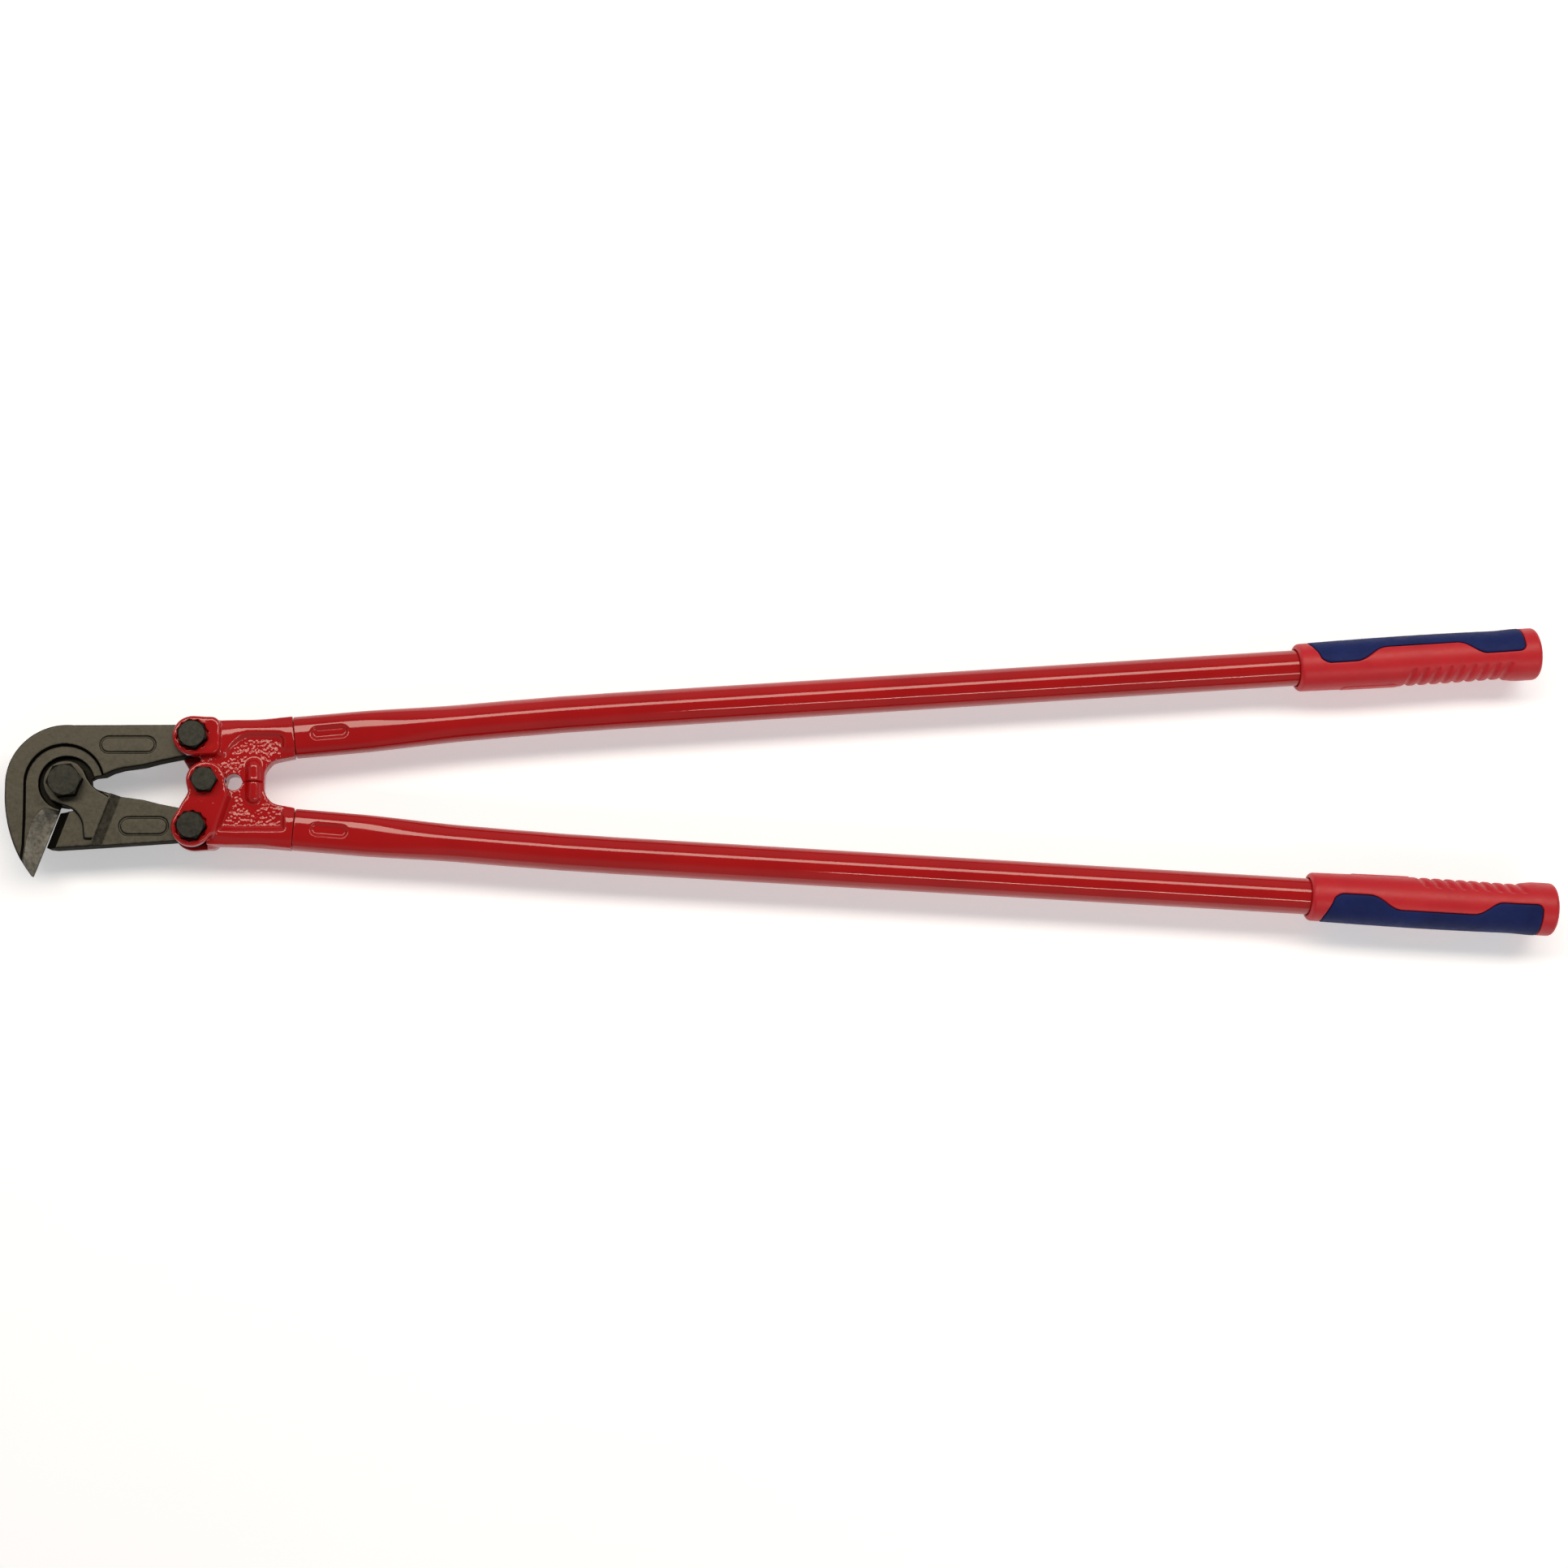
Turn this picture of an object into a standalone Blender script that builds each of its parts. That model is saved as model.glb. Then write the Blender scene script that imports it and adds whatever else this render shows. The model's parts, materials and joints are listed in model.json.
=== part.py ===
"""Bolt cutter for reinforcing mesh: two forged jaws, two cast levers and two tube handles in a kite linkage.

The model stands in its own frame: X runs from the jaws (-X) to the grips (+X), Z is the front face of the
tool, and the origin is under the middle of the closed tool. Inside, everything is placed from the centre
bolt, which is the origin of the empty named bolt_cutter.
"""

import math

import bmesh
import bpy
from mathutils import Matrix, Vector

MM = 0.001

# Fits
GAP = 0.3 * MM                  # air between pieces that touch
RUNNING = 0.8 * MM              # air round a boss that turns inside another piece
WELD = 0.00001

# Linkage: places of the bolts, from the centre bolt
ADJUSTER_AHEAD = 7.4 * MM       # adjuster bolts, towards the jaws
ADJUSTER_SIDE = 27.6 * MM       # adjuster bolts, to each side
JAW_PIVOT_AHEAD = 82.0 * MM     # jaw bolt, towards the jaws
HANDLE_SWING = math.radians(40)  # turn of each handle from closed to open

# Jaws
JAW_HALF = 6.5 * MM             # half thickness of both jaws
CHEEK_TOP = 8.4 * MM            # front of the lower jaw's raised cheek
HOOK_INNER_TOP = 4.0 * MM       # front of the hook's lowered inner zone
HOOK_BACK_RADIUS = 35.7 * MM    # back of the hook, round the jaw bolt
HOOK_OUTER_RADIUS = 85.0 * MM   # long arc from the back to the tip
HOOK_TIP_DROP = 55.5 * MM       # tip below the jaw bolt
HOOK_RING_RADIUS = 23.2 * MM    # wall of the lowered zone
HUB_RADIUS = 14.5 * MM          # hook's hub, behind
CHEEK_RADIUS = 13.2 * MM        # lower jaw's boss, in front
EYE_RADIUS = 10.5 * MM          # eyes of both arms on the adjuster bolts
ARM_OUTER_SIDE = 35.2 * MM      # outer edge of the arms, from the middle line
BLADE_TOP = 15.0 * MM           # where the cutting edges start, below the jaw bolt
BLADE_LEAN = 0.358              # sideways run of the cutting edge for each unit down
BLADE_OFFSET = 2.9 * MM         # edge's start, ahead of the jaw bolt
LOWER_BLADE_END = 38.8 * MM     # lower end of the lower jaw's edge
HOOK_BEVEL = 10.3 * MM
LOWER_BEVEL = 6.0 * MM
EDGE_HALF = 0.4 * MM            # half thickness left at the cutting edge

# Lever castings
BOSS_HALF = 13.0 * MM           # half thickness over the bosses
RIM_HALF = 9.8 * MM             # half thickness of the rim
WEB_HALF = 6.6 * MM             # half thickness in the pocket
ADJUSTER_BOSS_RADIUS = 12.0 * MM
CENTRE_BOSS_RADIUS = 10.9 * MM
BOSS_REACH = 16.2 * MM          # squared end of the adjuster boss, behind its bolt
SLOT_MOUTH = 7.0 * MM           # how far behind the bolt the slot is open to the outside
SLOT_FALL = 12                  # slope of the slot's inner side, along the arm, in degrees
EYELET_PLACE = 16.7 * MM        # round hole between the levers
EYELET_RADIUS = 5.0 * MM
STOP_PLACE = 28.5 * MM          # stop boss, behind the centre bolt
STOP_HALF_WIDTH = 6.3 * MM
STOP_HALF_DEPTH = 10.6 * MM
STOP_HEIGHT = 15.8 * MM
SEAM_PLACE = 52.3 * MM          # where the tube starts
SEAM_SIDE = 28.1 * MM
SPIGOT_LENGTH = 44.0 * MM
RAIL_PLACE = 32.0 * MM          # lowest place of the outer rail, behind the centre bolt
RAIL_DIP = 2.9 * MM             # how far the rail lies inside the tube's outer edge there
FORK_RADIUS = 11.0 * MM         # round corner between the stop and the tube
FORK_RISE = 1.4 * MM            # step from that corner's top to the tube's inner edge

# Tubes
TUBE_RADIUS = 11.3 * MM
TUBE_WALL = 2.0 * MM
OVAL_HALF_WIDTH = 12.65 * MM    # flattened front end of the tube
OVAL_HALF_DEPTH = 9.75 * MM
FRONT_RUN = 161.7 * MM          # straight run from the seam to the bend
FRONT_SLOPE = math.radians(5.2)
REAR_RUN = 462.5 * MM           # straight run from the bend to the grip
REAR_SLOPE = math.radians(3.7)
BEND_LENGTH = 60.0 * MM

# Grips: the walls stand round the tube
GRIP_LENGTH = 156.9 * MM
GRIP_FRONT_WALL = 3.4 * MM
GRIP_PALM_WALL = 4.3 * MM
GRIP_RIM_WALL = 5.6 * MM
GRIP_FRONT_RADIUS = TUBE_RADIUS + GAP + GRIP_FRONT_WALL
GRIP_PALM_RADIUS = TUBE_RADIUS + GAP + GRIP_PALM_WALL
GRIP_END_RADIUS = TUBE_RADIUS + GAP + GRIP_RIM_WALL
GRIP_END_ROUND = 3.5 * MM
GRIP_END_WALL = 6.0 * MM
INLAY_DEPTH = 1.8 * MM
INLAY_LOBE_SIDE = -0.9 * MM     # inlay's inner edge at the lobes, from the grip's axis
INLAY_WAIST_SIDE = 7.4 * MM     # the same between the lobes

# Fasteners: shank radius, width across flats, height
JAW_SHANK = 6.0 * MM
JAW_FLATS = 18.6 * MM
JAW_HEAD = 7.5 * MM
CENTRE_SHANK = 5.0 * MM
CENTRE_FLATS = 14.2 * MM
CENTRE_HEAD = 6.0 * MM
ADJUSTER_SHANK = 6.0 * MM
ADJUSTER_THREAD = 5.0 * MM
ADJUSTER_FLATS = 15.8 * MM
ADJUSTER_HEAD = 7.2 * MM
RECESS_DEPTH = 2.2 * MM
BOLT_TURN = {"upper": -77.5, "lower": -65}   # how far each adjuster bolt is turned, in degrees
JAW_BOLT_TURN = 8
NUT_TURN = 10                   # how far a nut is turned against its bolt's head
WASHER_THICKNESS = 1.8 * MM
NUT_SHARE = 0.8                 # nut height for each unit of thread diameter, times two radii
TAIL = 1.5 * MM                 # thread that stands out of a nut
CHAMFER_CIRCLE = 0.97           # circle on top of a hexagon, for each unit across its flats
CHAMFER_RISE = 0.55             # fall of the chamfer for each unit outwards

# Facets
ROUND_SIDES = 32
SMALL_SIDES = 20
TUBE_SIDES = 24

INSET = 0.15 * MM               # the web of a lever stays inside its rim by this
LAP = GAP / 2                   # each half of a lap joint stays this far from the mid-plane


# Linkage

def jaw_swing(handle_swing):
    """Turn of a jaw about the jaw bolt when each handle has turned by handle_swing."""
    lever = math.hypot(ADJUSTER_AHEAD, ADJUSTER_SIDE)
    arm = math.hypot(JAW_PIVOT_AHEAD - ADJUSTER_AHEAD, ADJUSTER_SIDE)
    start = math.atan2(ADJUSTER_SIDE, ADJUSTER_AHEAD)
    return math.asin(ADJUSTER_SIDE / arm) - math.asin(lever * math.sin(start - handle_swing) / arm)


def pivot_slack():
    """How far the jaws' pivot centres part when the jaws turn in a constant ratio to the handles."""
    arm = math.hypot(JAW_PIVOT_AHEAD - ADJUSTER_AHEAD, ADJUSTER_SIDE)
    share = jaw_swing(HANDLE_SWING) / HANDLE_SWING
    swings = [HANDLE_SWING * step / 20 for step in range(21)]
    return 2 * arm * max(abs(share * swing - jaw_swing(swing)) for swing in swings)


# Outlines

def arc(centre, radius, start, end, steps=12):
    """Points on an arc, angles in degrees, anticlockwise when end is larger."""
    angles = [math.radians(start + (end - start) * step / steps) for step in range(steps + 1)]
    return [(centre[0] + radius * math.cos(a), centre[1] + radius * math.sin(a)) for a in angles]


# Objects

def empty(name, place, parent=None, turn=None):
    holder = bpy.data.objects.new(name, None)
    holder.location = place
    holder.parent = parent
    if turn:
        holder.rotation_euler = turn
    MODEL.objects.link(holder)
    return holder


def add(name, mesh, parent, place=(0, 0, 0), turn=(0, 0, 0)):
    piece = bpy.data.objects.new(name, mesh)
    piece.parent = parent
    piece.location = place
    piece.rotation_euler = turn
    MODEL.objects.link(piece)
    return piece


def to_mesh(name, shape):
    mesh = bpy.data.meshes.new(name)
    shape.to_mesh(mesh)
    shape.free()
    return mesh


def plate(name, points, low, high, parent, place=(0, 0, 0), turn=(0, 0, 0)):
    """Flat plate with this outline, from height low to high."""
    curve = bpy.data.curves.new(name, "CURVE")
    curve.dimensions = "2D"
    curve.fill_mode = "BOTH"
    curve.extrude = (high - low) / 2
    spline = curve.splines.new("POLY")
    spline.points.add(len(points) - 1)
    for point, (x, y) in zip(spline.points, points):
        point.co = (x, y, 0, 1)
    spline.use_cyclic_u = True
    guide = bpy.data.objects.new(name, curve)
    MODEL.objects.link(guide)
    bpy.context.view_layer.update()
    flat = bpy.data.meshes.new_from_object(guide.evaluated_get(bpy.context.evaluated_depsgraph_get()))
    shape = bmesh.new()
    shape.from_mesh(flat)
    bmesh.ops.remove_doubles(shape, verts=shape.verts, dist=WELD)
    bmesh.ops.recalc_face_normals(shape, faces=shape.faces)
    bmesh.ops.translate(shape, verts=shape.verts, vec=(0, 0, (high + low) / 2))
    bpy.data.objects.remove(guide)
    bpy.data.curves.remove(curve)
    bpy.data.meshes.remove(flat)
    return add(name, to_mesh(name, shape), parent, place, turn)


def cylinder(name, radius, low, high, parent, place=(0, 0, 0), sides=ROUND_SIDES):
    shape = bmesh.new()
    middle = Matrix.Translation((0, 0, (low + high) / 2))
    bmesh.ops.create_cone(shape, cap_ends=True, segments=sides, radius1=radius, radius2=radius,
                          depth=high - low, matrix=middle)
    return add(name, to_mesh(name, shape), parent, place)


def turned(name, profile, parent, place=(0, 0, 0), turn=(0, 0, 0), sides=ROUND_SIDES, closed=False):
    """Turned solid about Z. The profile is (radius, height) points that run down the outer side."""
    mesh = bpy.data.meshes.new(name)
    edges = [(index, index + 1) for index in range(len(profile) - 1)]
    if closed:
        edges.append((len(profile) - 1, 0))
    mesh.from_pydata([(radius, 0, height) for radius, height in profile], edges, [])
    piece = add(name, mesh, parent, place, turn)
    screw = piece.modifiers.new("turn", "SCREW")
    screw.axis = "Z"
    screw.steps = sides
    screw.render_steps = sides
    screw.use_merge_vertices = True
    screw.merge_threshold = 0.00005
    return piece


def section(centre, across, half_width, half_depth, sides):
    """Oval ring of points in the plane of across and Z."""
    angles = [2 * math.pi * step / sides for step in range(sides)]
    side = Vector((across[0], across[1], 0)).normalized()
    middle = Vector((centre[0], centre[1], 0))
    return [middle + side * half_width * math.cos(a) + Vector((0, 0, half_depth * math.sin(a)))
            for a in angles]


def loft(name, stations, parent, sides=TUBE_SIDES, wall=0.0):
    """Solid through oval sections (centre, across, half width, half depth); with a wall it is a pipe."""
    shape = bmesh.new()
    rings = [[shape.verts.new(p) for p in section(*station, sides)] for station in stations]
    if wall:
        inner = [(c, a, width - wall, depth - wall) for c, a, width, depth in reversed(stations)]
        rings += [[shape.verts.new(p) for p in section(*station, sides)] for station in inner]
        rings.append(rings[0])
    else:
        shape.faces.new(rings[0])
        shape.faces.new(rings[-1])
    for before, after in zip(rings, rings[1:]):
        for index in range(sides):
            following = (index + 1) % sides
            shape.faces.new((before[index], before[following], after[following], after[index]))
    bmesh.ops.recalc_face_normals(shape, faces=shape.faces)
    return add(name, to_mesh(name, shape), parent)


def combine(piece, other, operation):
    """Boolean with another object, which is kept among the cutters."""
    step = piece.modifiers.new(other.name, "BOOLEAN")
    step.operation = operation
    step.object = other
    MODEL.objects.unlink(other)
    CUTTERS.objects.link(other)
    other.hide_render = True
    other.display_type = "WIRE"


def join(piece, *others):
    for other in others:
        combine(piece, other, "UNION")


def cut(piece, *others):
    for other in others:
        combine(piece, other, "DIFFERENCE")


def material(name, colour, roughness, metallic):
    finish = bpy.data.materials.new(name)
    finish.use_nodes = True
    shader = finish.node_tree.nodes["Principled BSDF"]
    shader.inputs["Base Color"].default_value = (*colour, 1)
    shader.inputs["Roughness"].default_value = roughness
    shader.inputs["Metallic"].default_value = metallic
    return finish


def paint(finish, *pieces):
    for piece in pieces:
        piece.data.materials.append(finish)


# Jaws, drawn from the jaw bolt

def hook_outline():
    """Outer edge of the hook jaw, anticlockwise from the eye's lower side."""
    eye = (JAW_PIVOT_AHEAD - ADJUSTER_AHEAD, ADJUSTER_SIDE)
    top = math.degrees(math.asin((ARM_OUTER_SIDE - eye[1]) / EYE_RADIUS))
    flank = (HOOK_OUTER_RADIUS - HOOK_BACK_RADIUS, -6 * MM)
    tip_turn = math.degrees(math.asin((HOOK_TIP_DROP + flank[1]) / HOOK_OUTER_RADIUS))
    points = arc(eye, EYE_RADIUS, -74, 180 - top, 14)
    points += arc((0, ARM_OUTER_SIDE - HOOK_BACK_RADIUS), HOOK_BACK_RADIUS, 84, 180, 12)
    points += arc(flank, HOOK_OUTER_RADIUS, 181, 180 + tip_turn, 8)
    points.append((-edge_place(HOOK_TIP_DROP) - 0.8 * MM, -HOOK_TIP_DROP - 0.6 * MM))
    points.append((-edge_place(HOOK_TIP_DROP), -HOOK_TIP_DROP + 1.2 * MM))
    points.append((-edge_place(BLADE_TOP), -BLADE_TOP))
    points += arc((0, 0), HUB_RADIUS, -99, 10, 10)
    points += inner_edge()
    return points


def edge_place(drop):
    """How far ahead of the jaw bolt the hook's cutting edge lies at this drop below it."""
    return BLADE_OFFSET + LAP + BLADE_LEAN * (drop - BLADE_TOP)


def inner_edge():
    """Inner edge of the hook's arm, from the crotch to the eye."""
    reach = JAW_PIVOT_AHEAD - ADJUSTER_AHEAD
    return [(17.0 * MM, 3.9 * MM), (22.5 * MM, 4.6 * MM), (27.5 * MM, 7.0 * MM), (33.0 * MM, 8.6 * MM),
            (reach - 29 * MM, 10.4 * MM), (reach - 20 * MM, 12.8 * MM)]


def lower_outline():
    """Outer edge of the lower jaw, clockwise from the eye's upper side."""
    eye = (JAW_PIVOT_AHEAD - ADJUSTER_AHEAD, -ADJUSTER_SIDE)
    low = math.degrees(math.asin((ARM_OUTER_SIDE - ADJUSTER_SIDE) / EYE_RADIUS))
    clear = HUB_RADIUS + pivot_slack() + GAP
    end = (-edge_place(LOWER_BLADE_END) + GAP, -LOWER_BLADE_END)
    points = arc(eye, EYE_RADIUS, 74, -180 + low, 14)
    points += [(15 * MM, -LOWER_BLADE_END + 0.2 * MM), (end[0] + 6.5 * MM, -LOWER_BLADE_END - 0.9 * MM)]
    points += [(end[0] + 2.0 * MM, -LOWER_BLADE_END - 0.5 * MM), end]
    points.append((-edge_place(clear) + GAP, -clear))
    points += arc((0, 0), clear, -94, -13, 8)
    points += [(x, -y) for x, y in inner_edge()[2:]]
    return points


def cheek_outline():
    """Raised cheek of the lower jaw: the boss round the jaw bolt and the block below it."""
    points = arc((0, 0), CHEEK_RADIUS, 57, 214, 14)
    points += [(-8.6 * MM, -10.9 * MM), (-4.4 * MM, -12.7 * MM), (0.7 * MM, -14.6 * MM)]
    points += arc((-4 * MM, -28.6 * MM), 14.8 * MM, 70, 4, 6)
    points += [(11.4 * MM, -33.6 * MM), (12.4 * MM, -34.4 * MM), (17.2 * MM, -34.2 * MM)]
    points += [(26.0 * MM, -9.9 * MM), (24.9 * MM, -8.5 * MM), (18.5 * MM, -4.6 * MM)]
    points += [(15.3 * MM, -1.6 * MM), (12.5 * MM, 2.6 * MM), (10.4 * MM, 7.4 * MM)]
    return points


def wedge(name, start, direction, length, width, thickness, parent, place, side):
    """Cutter for a blade bevel. It slopes from the edge line back into the jaw on its left side."""
    across = [(-6 * MM, EDGE_HALF), (0, EDGE_HALF), (width, thickness), (width, thickness + 6 * MM),
              (-6 * MM, thickness + 6 * MM)]
    blade = plate(name, across, 0, length, parent)
    along = Vector((direction[0], direction[1], 0)).normalized()
    inwards = Vector((-along.y, along.x, 0))
    height = Vector((0, 0, side))
    blade.data.transform(Matrix((inwards, height, along)).transposed().to_4x4())
    if side < 0:
        blade.data.flip_normals()
    blade.location = (place[0] + start[0], place[1] + start[1], 0)
    return blade


def make_hook_jaw(hinge, finish):
    """Upper jaw: hook behind the cut, with its hub under the lower jaw's cheek."""
    pivot = (-(JAW_PIVOT_AHEAD - ADJUSTER_AHEAD), -ADJUSTER_SIDE, 0)
    jaw = plate("hook_jaw", hook_outline(), -JAW_HALF, JAW_HALF, hinge, pivot)
    ring = HOOK_RING_RADIUS
    inner = arc((0, 0), ring, 6, 176, 14)
    inner += [(-ring - 1.4 * MM, -12 * MM), (-ring - 1.5 * MM, -24 * MM), (-ring - 0.9 * MM, -36 * MM),
              (-ring + 1.6 * MM, -48 * MM), (-ring + 6 * MM, -60 * MM), (20 * MM, -60 * MM)]
    lowered = plate("hook_lowered_zone", inner, HOOK_INNER_TOP, JAW_HALF + 5 * MM, hinge, pivot)
    seat = cylinder("hook_cheek_seat", CHEEK_RADIUS + pivot_slack() + GAP, -LAP, JAW_HALF + 5 * MM, hinge, pivot)
    hole = cylinder("hook_pivot_hole", JAW_SHANK + pivot_slack() + GAP, -20 * MM, 20 * MM, hinge, pivot)
    eye = cylinder("hook_eye_hole", ADJUSTER_SHANK + GAP, -20 * MM, 20 * MM, hinge, sides=SMALL_SIDES)
    start = (-edge_place(BLADE_TOP - 6 * MM), -BLADE_TOP + 6 * MM)
    line = (-BLADE_LEAN, -1)
    front = wedge("hook_front_bevel", start, line, 70 * MM, HOOK_BEVEL, HOOK_INNER_TOP, hinge, pivot, 1)
    back = wedge("hook_back_bevel", start, line, 70 * MM, HOOK_BEVEL, JAW_HALF, hinge, pivot, -1)
    cut(jaw, lowered, seat, front, hole, eye)
    paint(finish, jaw)
    return jaw, back


def make_lower_jaw(hinge, finish):
    """Lower jaw: straight blade, with a raised cheek in front of the hook's hub."""
    pivot = (-(JAW_PIVOT_AHEAD - ADJUSTER_AHEAD), ADJUSTER_SIDE, 0)
    jaw = plate("lower_jaw", lower_outline(), -JAW_HALF, JAW_HALF, hinge, pivot)
    cheek = plate("lower_jaw_cheek", cheek_outline(), LAP, CHEEK_TOP, hinge, pivot)
    hole = cylinder("lower_pivot_hole", JAW_SHANK + GAP, -20 * MM, 20 * MM, hinge, pivot, SMALL_SIDES)
    eye = cylinder("lower_eye_hole", ADJUSTER_SHANK + GAP, -20 * MM, 20 * MM, hinge, sides=SMALL_SIDES)
    start = (-edge_place(LOWER_BLADE_END + 12 * MM) + GAP, -LOWER_BLADE_END - 12 * MM)
    line = (BLADE_LEAN, 1)
    front = wedge("lower_front_bevel", start, line, 40 * MM, LOWER_BEVEL, JAW_HALF, hinge, pivot, 1)
    back = wedge("lower_back_bevel", start, line, 40 * MM, LOWER_BEVEL, JAW_HALF, hinge, pivot, -1)
    cut(jaw, front, back)
    join(jaw, cheek)
    cut(jaw, hole, eye)
    paint(finish, jaw)
    return jaw


# Levers, drawn from the centre bolt as the upper one; the lower one is turned half round X

def seam_point(side, back=0.0):
    """Point on the casting's end against the tube: side is across the tube, back is away from the tube."""
    along = Vector((math.cos(FRONT_SLOPE), math.sin(FRONT_SLOPE)))
    across = Vector((-along.y, along.x))
    place = Vector((SEAM_PLACE, SEAM_SIDE)) + across * side - along * back
    return (place.x, place.y)


def web_outline():
    """Whole lever casting behind the adjuster bolt, anticlockwise from the middle line, just inside the rim."""
    width = OVAL_HALF_WIDTH - INSET
    stop_end = STOP_PLACE + STOP_HALF_WIDTH - INSET
    corner = SEAM_SIDE - OVAL_HALF_WIDTH - FORK_RISE - FORK_RADIUS
    points = [(1 * MM, LAP + INSET), (stop_end, LAP + INSET)]
    points += arc((stop_end + FORK_RADIUS, corner), FORK_RADIUS, 180, 100, 7)
    points += [seam_point(-width, INSET), seam_point(width, INSET)]
    points += [(RAIL_PLACE, SEAM_SIDE + width - RAIL_DIP), (12 * MM, ADJUSTER_SIDE + 10.6 * MM)]
    points += [(-3.3 * MM, ADJUSTER_SIDE + 9.9 * MM), (-3.3 * MM, 8.2 * MM)]
    return points


def rim_outline():
    """Rim round the pocket: the outer rail and the end against the tube."""
    width = OVAL_HALF_WIDTH
    start = BOSS_REACH - ADJUSTER_AHEAD - 1.7 * MM
    points = [seam_point(-width), seam_point(width), (RAIL_PLACE, SEAM_SIDE + width - RAIL_DIP)]
    points += [(start, ADJUSTER_SIDE + 11.1 * MM), (start, ADJUSTER_SIDE - 7.7 * MM)]
    points += arc((30.6 * MM, 12.6 * MM), 18 * MM, 150, 90, 6)
    points += arc((43.2 * MM, 26.6 * MM), 4 * MM, 90, 0, 4)
    points.append((47.2 * MM, SEAM_SIDE - width - 0.6 * MM))
    return points


def boss_outline():
    """Squared boss in front of the adjuster bolt, drawn from that bolt."""
    radius = ADJUSTER_BOSS_RADIUS
    points = arc((0, 0), radius, 85, 275, 16)
    points += [(BOSS_REACH - 1.5 * MM, -radius + 2.5 * MM), (BOSS_REACH, -radius + 4 * MM)]
    points += [(BOSS_REACH, radius - 2 * MM), (BOSS_REACH - 1.5 * MM, radius - 0.5 * MM)]
    return points


def link_outline():
    """Cheek that ties the adjuster bolt to the centre bolt, behind the web."""
    points = arc((-ADJUSTER_AHEAD, ADJUSTER_SIDE), ADJUSTER_BOSS_RADIUS, 40, 205, 14)
    points += [(-13.0 * MM, 12.0 * MM), (-9.8 * MM, 6.4 * MM)]
    points += arc((0, 0), CENTRE_BOSS_RADIUS, 165, 345, 16)
    points += [(12.9 * MM, 6.6 * MM), (12.7 * MM, 9.4 * MM), (5.6 * MM, 31 * MM)]
    return points


def slot_outline():
    """Room for the jaw's eye and the swing of its arm, drawn from the adjuster bolt."""
    radius = EYE_RADIUS + RUNNING
    away = 40 * MM
    rise = 24 * MM
    points = arc((0, 0), radius, -90 + SLOT_FALL, 40, 10)
    fall = (away + points[0][0]) * math.tan(math.radians(SLOT_FALL))
    points += [(SLOT_MOUTH, rise), (-away, rise), (-away, points[0][1] - fall)]
    return points


def star_points(radius, turn_degrees):
    """Outline of a twelve-pointed recess: two hexagons at 30 degrees to each other."""
    valley = radius * math.cos(math.radians(30)) / math.cos(math.radians(15))
    angles = [math.radians(turn_degrees + 15 * step) for step in range(24)]
    radii = [radius if step % 2 == 0 else valley for step in range(24)]
    return [(r * math.cos(a), r * math.sin(a)) for r, a in zip(radii, angles)]


def stop_boss(name, parent):
    """Upright half round that meets the other lever's when the tool is closed."""
    shoulder = STOP_HEIGHT - STOP_HALF_WIDTH
    heights = [(LAP, 1.0), (shoulder, 1.0)]
    for step in range(1, 5):
        turn = math.radians(80) * step / 4
        heights.append((shoulder + STOP_HALF_WIDTH * math.sin(turn), math.cos(turn)))
    stations = [((STOP_PLACE, y), (1, 0), STOP_HALF_WIDTH * share, STOP_HALF_DEPTH * share)
                for y, share in heights]
    return loft(name, stations, parent, SMALL_SIDES)


def spigot(name, parent):
    """Plug of the casting that goes into the tube."""
    along = Vector((math.cos(FRONT_SLOPE), math.sin(FRONT_SLOPE)))
    across = (-along.y, along.x)
    less = TUBE_WALL + GAP
    stations = []
    for distance in (-6 * MM, SPIGOT_LENGTH / 2, SPIGOT_LENGTH):
        centre = Vector((SEAM_PLACE, SEAM_SIDE)) + along * distance
        width, depth = tube_section(max(distance, 0))
        stations.append((tuple(centre), across, width - less, depth - less))
    return loft(name, stations, parent, TUBE_SIDES)


def turn_over(pieces):
    """Half a turn round X, which makes the lower lever of the upper one."""
    for piece in pieces:
        piece.data.transform(Matrix.Diagonal((1, -1, -1, 1)))
        piece.location.y = -piece.location.y


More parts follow.
